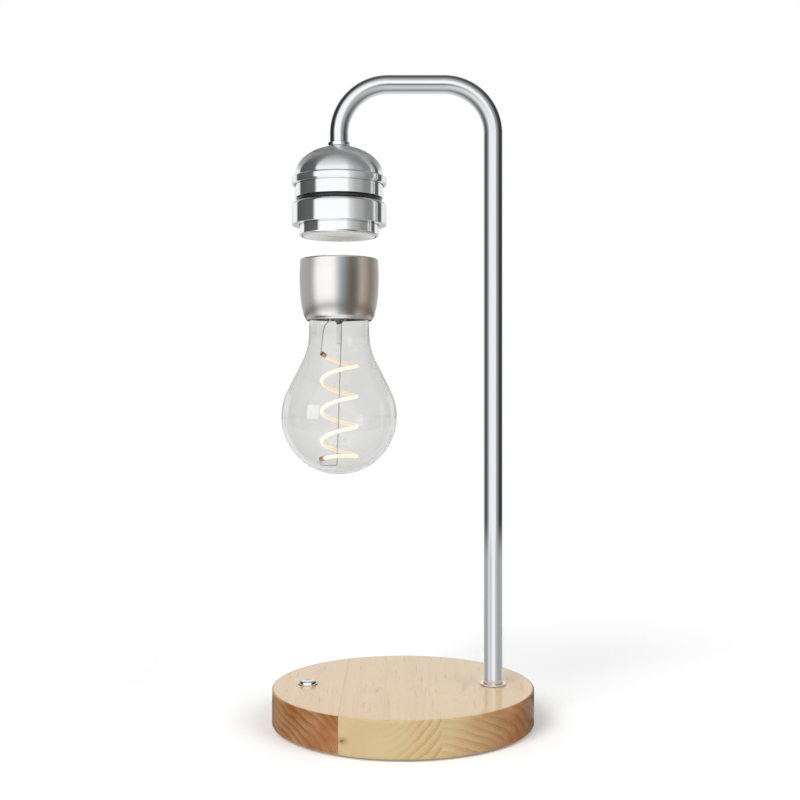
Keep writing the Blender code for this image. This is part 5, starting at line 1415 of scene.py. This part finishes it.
def build_ring():
    """The black ring between the barrel and the band."""
    low, high, radius = extent("head_ring")
    inner = radius - RING_WIDTH
    rubber = moulded_finish("ring rubber", (0.02, 0.021, 0.023), 0.3, 1400.0, 0.12)
    place_shell("rubber_ring", [
        (radius, high, RING_ROUNDING), (radius, low, RING_ROUNDING), (inner, low, FINE_EDGE),
        (inner, high, FINE_EDGE),
    ], rubber, "black_rubber", "head_ring")


def build_band(chrome):
    """The wide band, which holds the lower cup by its inner edge."""
    low, high, radius = extent("head_band")
    inner, flange = radius - BAND_WALL, FLANGE_HOLE / 2
    hole = CUP_WIDTH / 2 + CLEARANCE
    place_shell("wide_band", [
        (radius, high, BAND_SHOULDER), (radius, low, BAND_EDGE), (hole, low), (hole, low + BAND_WALL),
        (inner, low + BAND_WALL), (inner, high - BAND_WALL, BAND_INNER_ROUNDING), (flange, high - BAND_WALL),
        (flange, high),
    ], chrome, "chrome", "head_band")


def build_cup(chrome):
    """The lower cup, with the seat of the white disc in its rim."""
    face, top, outer = extent("head_cup")
    flange_bottom = top - CUP_WALL
    seat = levels("head_disc")[1] + CLEARANCE
    cup = CUP_WIDTH / 2
    rim = cup - CUP_RIM
    place_shell("lower_cup", [
        (outer, top), (outer, flange_bottom), (cup, flange_bottom), (cup, face, CUP_ROUNDING),
        (rim, face, SMALL_EDGE), (rim, seat), (rim - CUP_SEAT, seat), (rim - CUP_SEAT, seat + CUP_SEAT),
        (cup - CUP_WALL, seat + CUP_SEAT), (cup - CUP_WALL, top),
    ], chrome, "chrome", "head_cup")


def build_head_shells(look):
    """The collar, dome, barrel, ring, band, cup and disc of the head."""
    chrome = chrome_finish("polished chrome", look, HEAD_AXIS, 0.12)
    build_collar(chrome)
    build_dome(look)
    build_barrel(chrome)
    build_ring()
    build_band(chrome)
    build_cup(chrome)
    place_disc("white_disc", (SMALL_EDGE, DISC_EDGE), white_plastic(), "white_plastic", "head_disc")


def cap_line(low, high):
    """The cap's outside from its top corner to the rolled lip, by a Catmull-Rom curve through its widths."""
    top = width("cap_lid") / 2 + CAP_BORE_CLEARANCE + CAP_WALL
    widest = width("bulb_cap") / 2
    through = np.array([
        (top, high - 0.4 * CAP_ROUNDING),
        (top, high - 2 * CAP_ROUNDING),
        *((widest - inset, high - share * CAP_HEIGHT) for share, inset in CAP_SIDE),
        *((CAP_LIP / 2 + out, low + up) for out, up in CAP_LIP_FLARE),
    ])
    share = np.linspace(0, 1, CAP_STEPS, endpoint=False)[:, None]
    pieces = []
    for before, start, end, after in zip(through, through[1:], through[2:], through[3:]):
        pieces.append(0.5 * (
            2 * start + (end - before) * share + (2 * before - 5 * start + 4 * end - after) * share**2
            + (3 * start - before - 3 * end + after) * share**3
        ))
    return np.concatenate(pieces)


def build_cap(metal):
    """The satin cap with its rolled lip, and the white lid in its top."""
    low, high = levels("bulb_cap")
    side = cap_line(low, high)
    top, mouth = side[0][0], CAP_MOUTH / 2
    bore = width("cap_lid") / 2 + CAP_BORE_CLEARANCE
    crown = rounded([(bore, high), (top, high, CAP_ROUNDING), tuple(side[0])])[1:-1]
    lip = rounded([
        tuple(side[-1]), (CAP_LIP / 2, low, CAP_LIP_ROUNDING), (mouth, low, SMALL_EDGE),
        (mouth, low + CAP_WALL),
    ])[1:]
    inside = [
        (side[-1][0] - CAP_WALL, low + CAP_INNER_LEDGE * CAP_HEIGHT + CAP_WALL),
        (bore, high - CAP_BORE_END * CAP_HEIGHT),
        (bore, high),
    ]
    shown = np.array([*crown, *side, *lip])
    length = np.linalg.norm(np.diff(shown, axis=0), axis=1).sum() - 2 * CAP_WALL
    mesh = turned([*shown, *inside], HEAD_AXIS, closed=True)
    place_piece("satin_cap", mesh, satin_finish(metal, length), "satin_aluminium", "bulb_cap")
    place_disc("white_lid", (SOFT_EDGE, SMALL_EDGE), white_plastic(), "white_plastic", "cap_lid")


def neck_start():
    """The level at which the straight neck of the glass begins to widen."""
    return levels("bulb_cap")[0] - NECK_SHOWING


def glass_line(inset):
    """One side of the glass, set in from the outside: a straight neck, an arc, a cone and the ball."""
    neck = NECK_DIAMETER / 2
    outer = width("glass_envelope") / 2
    start = neck_start()
    cone_top = neck + NECK_FILLET * (1 - np.cos(SHOULDER_ANGLE))
    cone_drop = (outer * np.cos(SHOULDER_ANGLE) - cone_top) / tan(SHOULDER_ANGLE)
    cone_level = start - NECK_FILLET * np.sin(SHOULDER_ANGLE)
    centre = cone_level - cone_drop - outer * np.sin(SHOULDER_ANGLE)
    bend, ball = NECK_FILLET + inset, outer - inset
    angle = np.linspace(pi, pi + SHOULDER_ANGLE, SHOULDER_STEPS)
    shoulder = np.stack([neck - inset + bend + bend * np.cos(angle), start + bend * np.sin(angle)], axis=1)
    angle = np.linspace(SHOULDER_ANGLE, -pi / 2, BALL_STEPS)
    bulb = np.stack([ball * np.cos(angle), centre + ball * np.sin(angle)], axis=1)
    bulb[-1, 0] = 0
    return np.concatenate([shoulder, bulb])


def stem_line():
    """The glass stem: a funnel from the neck's wall, pinched flat and drawn out to a rod."""
    rim = NECK_DIAMETER / 2 - GLASS_WALL - CLEARANCE
    pinch, rod_radius = STEM_PINCH / 2, STEM_ROD / 2
    flare = neck_start() + STEM_TOP
    level = neck_start() + STEM_LEVEL
    end = level - pinch - STEM_ROD_LENGTH
    return rounded([
        (0, level + STEM_WALL),
        (pinch, level + pinch, STEM_FUNNEL_ROUNDING),
        (rim - STEM_WALL, flare, SOFT_EDGE),
        (rim, flare, SOFT_EDGE),
        (rim, flare - STEM_WALL, STEM_RIM_ROUNDING),
        (pinch + STEM_WALL, level + STEM_WALL, STEM_NECK_ROUNDING),
        (pinch, level - STEM_WALL, STEM_PINCH_ROUNDING),
        (rod_radius, level - pinch, STEM_ROD_ROUNDING),
        (rod_radius, end, STEM_ROD_ROUNDING),
        (0, end),
    ])


def build_glass(look):
    """The blown envelope and the stem inside its neck. The envelope's mouth is a half circle in section."""
    top = levels("glass_envelope")[1]
    outer, inner = glass_line(0), glass_line(GLASS_WALL)
    edge = GLASS_WALL / 2
    angle = np.linspace(pi, 0, MOUTH_STEPS)
    mouth = np.stack([outer[0][0] - edge + edge * np.cos(angle), top - edge + edge * np.sin(angle)], axis=1)
    mesh = turned(np.concatenate([inner[::-1], mouth, outer]), HEAD_AXIS)
    clear = glass_finish(look, "clear glass", 0.05)
    place_piece("blown_envelope", mesh, clear, "clear_glass", "glass_envelope")
    stem = glass_finish(look, "stem glass", 0.12)
    mesh = turned(stem_line(), HEAD_AXIS, RING_COLUMNS)
    place_piece("pinched_stem", mesh, stem, "clear_glass", "glass_stem")


def filament_route():
    """Points of the leaning spiral about the bulb's axis, from its upper to its lower end.

    Angle a turns evenly, x = radius cos a, y = -radius sin a, and the level falls by a pitch a turn and
    leans by a share of y. After the last full turn the pitch is small.
    """
    first = -FILAMENT_END_TURN_SHARE
    last = FILAMENT_TURNS + FILAMENT_END_TURN_SHARE
    turns = np.linspace(first, last, round((last - first) * FILAMENT_POINTS_PER_TURN) + 1)
    angle = 2 * pi * turns
    x = FILAMENT_TURN * np.cos(angle)
    y = -FILAMENT_TURN * np.sin(angle)
    even = np.minimum(turns, FILAMENT_TURNS)
    drop = FILAMENT_PITCH * even + FILAMENT_LAST_PITCH * (turns - even)
    level = neck_start() - FILAMENT_DEPTH - drop - FILAMENT_TILT_SHARE * y
    return np.stack([x + HEAD_AXIS[0], y, level], axis=1)


def build_clip(name, end, before, brass):
    """The metal clip that carries on from an end of the filament. Returns where its wire joins it."""
    ahead = unit(end - before)
    near, far = end + ahead * CLEARANCE, end + ahead * (CLEARANCE + CLIP_LENGTH)
    line = near + np.linspace(0, 1, CLIP_POINTS)[:, None] * (far - near)
    mesh = bar(line, CLIP, SOFT_EDGE, (0, 1, 0.2), CLIP_COLUMNS)
    place_piece(f"crimp_{name}", mesh, brass, "brass", f"filament_clip_{name}")
    return far + ahead * (CLEARANCE + WIRE / 2)


def build_wires(top_clip, low_clip):
    """The short wire at the side and the long one down the middle, from the stem to the clips."""
    nickel = plated_finish("nickel wire", (0.6, 0.58, 0.54), 0.35)
    x = HEAD_AXIS[0]
    level = neck_start() + STEM_LEVEL
    beside = STEM_PINCH / 2 + WIRE / 2 + CLEARANCE
    lead = softened([
        (x - beside, 0, level), (x - beside, 0, level - STEM_WALL),
        (x - LEAD_REACH, 0, level - LEAD_BEND_DROP), tuple(top_clip),
    ], LEAD_BEND)
    mesh = bar(evenly(lead, LEAD_POINTS), WIRE_SHOWN, FINE_EDGE, (0.3, 1, 0))
    place_piece("side_wire", mesh, nickel, "wire", "lead_wire")
    hook = low_clip[2] - CENTRE_HOOK_DROP
    centre = softened([
        (x + CENTRE_TOP_OFFSET, -CENTRE_FRONT, level - beside), (x - CENTRE_LOWER_OFFSET, 0, hook),
        (low_clip[0], low_clip[1], hook), tuple(low_clip),
    ], CENTRE_BEND)
    mesh = bar(evenly(centre, CENTRE_POINTS), WIRE_SHOWN, FINE_EDGE, (1, 0.2, 0.3))
    place_piece("long_wire", mesh, nickel, "wire", "centre_wire")


def build_filament(bulb, metal):
    """The glowing spiral, the clips at its ends, and the wires that carry it."""
    route = filament_route()
    outward = route - np.array([HEAD_AXIS[0], 0, 0])
    outward[:, 2] = 0
    mesh = bar(route, FILAMENT, FILAMENT_EDGE, outward, FILAMENT_COLUMNS)
    place_piece("glowing_spiral", mesh, filament_finish(bulb), "filament_phosphor", "filament")
    brass = plated_finish("brass clip", metal.brass, 0.3)
    top_clip = build_clip("top", route[0], route[1], brass)
    low_clip = build_clip("bottom", route[-1], route[-2], brass)
    build_wires(top_clip, low_clip)


def dress_hidden(metal):
    """Gives the parts inside the base, the head and the cap their finishes."""
    dress(zinc_plate(metal), *WOOD_SCREWS, *HEAD_SCREWS, *CLAMPS, "core_screw")
    dress(spring_steel(), "button_clip")
    dress(plated_finish("chassis steel", (0.45, 0.45, 0.46), 0.4), "chassis_plate")
    dress(plated_finish("soft iron", (0.33, 0.33, 0.34), 0.42), "coil_core")
    dress(plated_finish("nickel plate", (0.66, 0.63, 0.58), 0.18), "bulb_magnet")
    nylon = moulded_finish("natural nylon", (0.62, 0.6, 0.53), 0.48)
    dress(nylon, "button_holder", "board_spacer", "coil_bobbin", "magnet_holder")
    dress(black_plastic(), "button_switch")
    dress(moulded_finish("cable cover", (0.03, 0.03, 0.03), 0.5), "arm_cable")
    dress(moulded_finish("red lead cover", (0.42, 0.03, 0.03), 0.45), "switch_lead")
    dress(board_finish(), "power_board", "switch_board", "sensor_board", "driver_board", "receiver_board")
    dress(winding_finish(), "levitation_coil", "transmitter_coil", "receiver_coil")


def bearing(nodes, x, y):
    """The angle from the viewer's side, positive to the right, as a share of a turn from the back."""
    return nodes.maths("ARCTAN2", x, 0 - y) / (2 * pi) + 0.5


def stops(bands):
    """Ramp stops from bands of (degrees, grey or colour)."""
    return [((degrees + 180) / 360, tuple(np.broadcast_to(tone, 3))) for degrees, tone in bands]


def studio(nodes, x, y):
    """What polished metal sees of the studio all round: pale walls with dark and grey screens between."""
    return nodes.ramp(bearing(nodes, x, y), stops(STUDIO_BANDS))


def floor_finish():
    """Plain pale paint that keeps the lamp's shadow. Polished metal sees the studio's screens in it."""
    nodes = Plain("pale floor")
    x, y, _ = nodes.parts(nodes.place())
    shown, path = nodes.light_path()
    paint = nodes.mix(shown, (FLOOR_PAINT,) * 3, (FLOOR_SHOWN,) * 3)
    plain = nodes.make("ShaderNodeBsdfDiffuse", values={"Color": paint, "Roughness": 0.0})
    screens = nodes.make(
        "ShaderNodeEmission", values={"Color": studio(nodes, x, y), "Strength": FLOOR_MIRRORED},
    )
    mirrored = path.turn("Is Glossy Ray") * (1 - path.turn("Is Transmission Ray"))
    return nodes.done(nodes.make("ShaderNodeMixShader", values={0: mirrored, 1: plain, 2: screens}))


def mirrored_at(share, radius, distance):
    """Where the viewer's line, mirrored at a share of an upright cylinder's half width, meets a ring.

    The line leaves the cylinder at twice the angle of the spot, and the ring is this distance from the axis.
    """
    spot = np.arcsin(share)
    start = radius * np.array([np.sin(spot), -np.cos(spot)])
    ahead = np.array([np.sin(2 * spot), -np.cos(2 * spot)])
    inward = start @ ahead
    end = start + ahead * (sqrt(inward**2 + distance**2 - radius**2) - inward)
    return np.degrees(np.arctan2(end[0], -end[1]))


def mirrored_bands(bands, radius, distance, lean=0.0):
    """Stops of a ramp that make a round piece show these bands of (share of the half width, tone).

    The bands' zero is turned by this many degrees.
    """
    return stops([(mirrored_at(share, radius, distance) - lean, tone) for share, tone in bands])


def hang_screen(nodes, mesh, tone, reach):
    """Hangs a screen of light that only polish within reach sees, and only on the screen's inner side."""
    length = nodes.make("ShaderNodeLightPath", output="Ray Length")
    mirrored = nodes.maths("MINIMUM", length.turn("Glossy Depth"), 1.0)
    near = nodes.maths("LESS_THAN", length, reach) * mirrored
    cover = near * nodes.make("ShaderNodeNewGeometry", output="Backfacing")
    light = nodes.make("ShaderNodeEmission", values={"Color": tone, "Strength": 1.0})
    clear = nodes.make("ShaderNodeBsdfTransparent")
    shader = nodes.make("ShaderNodeMixShader", values={0: cover, 1: clear, 2: light})
    mesh.materials.append(nodes.done(shader))
    screen = new_object(nodes.material.name, mesh)
    screen.visible_camera = False
    screen.visible_diffuse = False
    screen.visible_transmission = False
    screen.visible_shadow = False
    return screen


def hang_button_screen():
    """A small ring of screens that gives the button's side dark ends."""
    nodes = Plain("button_screen")
    x, y, _ = nodes.parts(nodes.place())
    bands = mirrored_bands(BUTTON_BANDS, width("button_cap") / 2, BUTTON_SCREEN)
    tone = nodes.ramp(bearing(nodes, x - BUTTON_AXIS[0], y - BUTTON_AXIS[1]), bands)
    top = levels("button_cap")[1]
    bottom = levels("wood_base")[1] + CLEARANCE
    mesh = turned([(BUTTON_SCREEN, top), (BUTTON_SCREEN, bottom)], BUTTON_AXIS, SMALL_COLUMNS)
    return hang_screen(nodes, mesh, tone, BUTTON_SCREEN)


def hang_cap_screen():
    """Light and dark screens round the bulb's cap, with a dim band just below it."""
    nodes = Plain("cap_screen")
    x, y, z = nodes.parts(nodes.place())
    bands = [*stops(CAP_BACK), *mirrored_bands(CAP_BANDS, width("bulb_cap") / 2, CAP_SCREEN)]
    bands += [(1 - place, tone) for place, tone in reversed(stops(CAP_BACK))]
    tone = nodes.ramp(bearing(nodes, x - HEAD_AXIS[0], y - HEAD_AXIS[1]), bands)
    low, high = levels("bulb_cap")
    starts, ends = (
        nodes.step(z, low + first, low + last) for first, last in (CAP_DIM_START, CAP_DIM_END)
    )
    tone = nodes.mix(starts * (1 - ends) * 0.95, tone, CAP_DIM)
    outline = [(CAP_SCREEN, high + CAP_SCREEN_ABOVE), (CAP_SCREEN, low - CAP_SCREEN_BELOW)]
    mesh = turned(outline, HEAD_AXIS, SMALL_COLUMNS)
    return hang_screen(nodes, mesh, tone, CAP_REACH * CAP_SCREEN)


def sleeve_tone(nodes):
    """The sleeve's tone: bands of their own for the post's foot, the post, the head's side and the arm.

    Between the uprights and the arm it changes evenly with the angle round the bend.
    """
    x, _, z = nodes.parts(nodes.place())
    around, _, _ = nodes.parts(nodes.make("ShaderNodeUVMap"))
    foot, post, head_side, arm = (
        nodes.ramp(1 - around, mirrored_bands(bands, TUBE_RADIUS, TUBE_SLEEVE, lean))
        for bands, lean in zip(SLEEVE_BANDS, SLEEVE_LEANS)
    )
    post = nodes.mix(nodes.step(z, *POST_FOOT_END), foot, post)
    upright = nodes.mix(nodes.step(x, *POST_SIDE), head_side, post)
    centre = (POST_AXIS[0] + HEAD_AXIS[0]) / 2
    out = nodes.maths("ABSOLUTE", x - centre) - (POST_AXIS[0] - BEND_RADIUS - centre)
    rise = z - (levels("arm_tube")[1] - TUBE_RADIUS - BEND_RADIUS)
    bent = nodes.maths("ARCTAN2", rise, out) / (pi / 2)
    bent = nodes.maths("MINIMUM", nodes.maths("MAXIMUM", bent, 0.0), 1.0)
    return nodes.mix(bent**ARM_BEND_PACE, upright, arm)


def hang_tube_sleeve():
    """A sleeve of light and dark screens all along the tube."""
    nodes = Plain("tube_sleeve")
    path = arm_route()
    path[0, 2] = levels("wood_base")[1] + CLEARANCE
    path[-1, 2] = levels("head_collar")[1]
    _, across, other = frames(path, (0, 1, 0))
    mesh = surface(carried(path, across, other, TUBE_SLEEVE, SMALL_COLUMNS))
    return hang_screen(nodes, mesh, sleeve_tone(nodes), SLEEVE_REACH * TUBE_SLEEVE)


def hang_pane():
    """A bright pane that only the glass mirrors, on its front and once more, upside down, inside its back.

    Its corners are middle + half across (cos b, sin b, 0) + half up, where b is its bearing.
    """
    nodes = Plain("bright_pane")
    ball = width("glass_envelope") / 2
    ball_middle = np.array([*HEAD_AXIS, levels("glass_envelope")[0] + ball])
    ahead = np.array([np.sin(PANE_BEARING), -np.cos(PANE_BEARING), tan(PANE_RISE)])
    across = np.array([np.cos(PANE_BEARING), np.sin(PANE_BEARING), 0]) * PANE / 2
    up = np.array([0, 0, PANE / 2])
    place = ball_middle + PANE_DISTANCE * ahead
    sides = np.array([place - across, place + across])
    mesh = surface(np.array([sides + up, sides - up]), wrap=False)
    pane = hang_screen(nodes, mesh, (PANE_LIGHT,) * 3, PANE_REACH)
    pane.visible_transmission = True
    return pane


def set_camera(look):
    """The camera at the photograph's place, looking level."""
    camera = new_object("camera", bpy.data.cameras.new("camera"))
    camera.data.lens = look.lens
    camera.data.sensor_width = SENSOR
    camera.data.shift_y = look.lens_shift
    camera.location = (look.camera_side, -look.camera_distance, look.camera_height)
    camera.rotation_euler = (pi / 2, 0, 0)
    bpy.context.scene.camera = camera
    return camera


def light_world(look):
    """White to the camera, even light on the object, and to polish the studio under a dark ceiling."""
    world = bpy.data.worlds.new("studio")
    bpy.context.scene.world = world
    world.use_nodes = True
    world.node_tree.nodes.clear()
    nodes = Nodes(world.node_tree)
    x, y, z = nodes.parts(nodes.make("ShaderNodeTexCoord", output="Generated"))
    behind = nodes.maths("MAXIMUM", y, 0.0) * nodes.step(z, *BEHIND_STARTS)
    height = nodes.maths("ARCSINE", z) + behind * BEHIND_LIFT
    dusk = nodes.maths("MAXIMUM", (height - DUSK_START) / DUSK_SPAN, 0.0) ** DUSK_PACE
    back = nodes.step(z, *BACK_WALL_RISE) * nodes.step(y, *BACK_WALL_SIDES)
    walls = nodes.mix(back, studio(nodes, x, y), (BACK_WALL,) * 3)
    ceiling = nodes.mix(CEILING_SHARE, CEILING, walls)
    walls = nodes.mix(nodes.maths("MINIMUM", dusk, 1.0), walls, ceiling)
    shown, path = nodes.light_path()
    mirrored = nodes.maths("MINIMUM", path.turn("Glossy Depth"), 1.0)
    even = nodes.mix(shown, (look.ambient,) * 3, (1.0, 1.0, 1.0))
    direct = nodes.maths("LESS_THAN", path.turn("Diffuse Depth"), 0.5)
    colour = nodes.mix(mirrored * direct, even, walls)
    light = nodes.make("ShaderNodeBackground", values={"Color": colour, "Strength": 1.0})
    nodes.make("ShaderNodeOutputWorld", values={"Surface": light})


def lay_floor(look):
    """The pale floor, with its top at the lamp's feet."""
    reach = look.floor
    mesh = block((-reach, -reach, -FLOOR_THICKNESS), (reach, reach, 0))
    mesh.materials.append(floor_finish())
    return new_object("floor", mesh)


def hang_lamps(look):
    """Two soft lamps far away, which polish and glass don't mirror."""
    lamps = []
    for (name, spread, turn), strength in zip(LAMPS, (look.key, look.fill)):
        lamp = new_object(name, bpy.data.lights.new(name, "SUN"))
        lamp.data.energy = strength
        lamp.data.angle = radians(spread)
        lamp.rotation_euler = [radians(degrees) for degrees in turn]
        lamp.visible_glossy = False
        lamp.visible_transmission = False
        lamps.append(lamp)
    return lamps


def build_stage(look):
    """The camera, the world's light, a pale floor, the screens that polish mirrors and two soft lamps."""
    bpy.context.scene.view_settings.view_transform = "Standard"
    light_world(look)
    camera = set_camera(look)
    floor = lay_floor(look)
    lamps = hang_lamps(look)
    hang_button_screen()
    hang_cap_screen()
    hang_tube_sleeve()
    hang_pane()


class BuildStage(bpy.types.Operator):
    """Set up the camera, the floor and the light"""

    bl_idname = "lamp.stage"
    bl_label = "Stage"

    def execute(self, context):
        build_stage(context.scene.lamp_stage)
        return {"FINISHED"}


class BuildWoodBase(bpy.types.Operator):
    """Turn the wooden base and cut its holes"""

    bl_idname = "lamp.wood_base"
    bl_label = "Wooden Base"

    def execute(self, context):
        build_wood_base(context.scene.lamp_wood)
        return {"FINISHED"}


class BuildBottom(bpy.types.Operator):
    """Build the plate under the base with its screws and feet"""

    bl_idname = "lamp.bottom"
    bl_label = "Plate, Screws and Feet"

    def execute(self, context):
        build_bottom(context.scene.lamp_metal)
        return {"FINISHED"}


class BuildInlet(bpy.types.Operator):
    """Build the inlet socket in the base's side"""

    bl_idname = "lamp.inlet"
    bl_label = "Inlet Socket"

    def execute(self, context):
        build_inlet()
        return {"FINISHED"}


class BuildButton(bpy.types.Operator):
    """Build the push button and its spring"""

    bl_idname = "lamp.button"
    bl_label = "Button"

    def execute(self, context):
        build_button(context.scene.lamp_metal)
        build_spring()
        return {"FINISHED"}


class BuildArm(bpy.types.Operator):
    """Bend the tube and build the ring round its foot"""

    bl_idname = "lamp.arm"
    bl_label = "Tube and Foot Ring"

    def execute(self, context):
        build_arm(context.scene.lamp_metal)
        return {"FINISHED"}


class BuildHeadShells(bpy.types.Operator):
    """Build the turned shells, rings and disc of the head"""

    bl_idname = "lamp.head_shells"
    bl_label = "Head Shells"

    def execute(self, context):
        build_head_shells(context.scene.lamp_metal)
        return {"FINISHED"}


class BuildCap(bpy.types.Operator):
    """Build the bulb's cap and the lid in it"""

    bl_idname = "lamp.cap"
    bl_label = "Cap and Lid"

    def execute(self, context):
        build_cap(context.scene.lamp_metal)
        return {"FINISHED"}


class BuildGlass(bpy.types.Operator):
    """Blow the bulb's envelope and its stem"""

    bl_idname = "lamp.glass"
    bl_label = "Glass and Stem"

    def execute(self, context):
        build_glass(context.scene.lamp_bulb)
        return {"FINISHED"}


class BuildFilament(bpy.types.Operator):
    """Wind the filament and build its clips and wires"""

    bl_idname = "lamp.filament"
    bl_label = "Filament and Wires"

    def execute(self, context):
        build_filament(context.scene.lamp_bulb, context.scene.lamp_metal)
        return {"FINISHED"}


class DressInnerParts(bpy.types.Operator):
    """Give the parts inside their finishes"""

    bl_idname = "lamp.inner_parts"
    bl_label = "Inner Parts"

    def execute(self, context):
        dress_hidden(context.scene.lamp_metal)
        return {"FINISHED"}


class LampPanel(bpy.types.Panel):
    """Sizes, colours and building steps of the lamp"""

    bl_idname = "VIEW3D_PT_lamp"
    bl_label = "Floating Bulb Lamp"
    bl_space_type = "VIEW_3D"
    bl_region_type = "UI"
    bl_category = "Lamp"

    def draw(self, context):
        for name in GROUPS:
            box = self.layout.box()
            group = getattr(context.scene, name)
            box.label(text=name.removeprefix("lamp_").capitalize())
            for setting in type(group).__annotations__:
                box.prop(group, setting)
        for step in STEPS:
            self.layout.operator(step.bl_idname)


GROUPS = {"lamp_stage": StageLook, "lamp_wood": WoodLook, "lamp_metal": MetalLook, "lamp_bulb": BulbLook}
STEPS = (
    BuildStage, BuildWoodBase, BuildBottom, BuildInlet, BuildButton, BuildArm, BuildHeadShells, BuildCap,
    BuildGlass, BuildFilament, DressInnerParts,
)


def register():
    for kind in (*GROUPS.values(), *STEPS, LampPanel):
        bpy.utils.register_class(kind)
    for name, kind in GROUPS.items():
        setattr(bpy.types.Scene, name, PointerProperty(type=kind))


def unregister():
    for name in GROUPS:
        delattr(bpy.types.Scene, name)
    for kind in (LampPanel, *reversed(STEPS), *GROUPS.values()):
        bpy.utils.unregister_class(kind)


def main():
    """Builds the whole picture."""
    register()
    bpy.ops.lamp.stage()
    bpy.ops.lamp.wood_base()
    bpy.ops.lamp.bottom()
    bpy.ops.lamp.inlet()
    bpy.ops.lamp.button()
    bpy.ops.lamp.arm()
    bpy.ops.lamp.head_shells()
    bpy.ops.lamp.cap()
    bpy.ops.lamp.glass()
    bpy.ops.lamp.filament()
    bpy.ops.lamp.inner_parts()


if __name__ == "__main__":
    main()
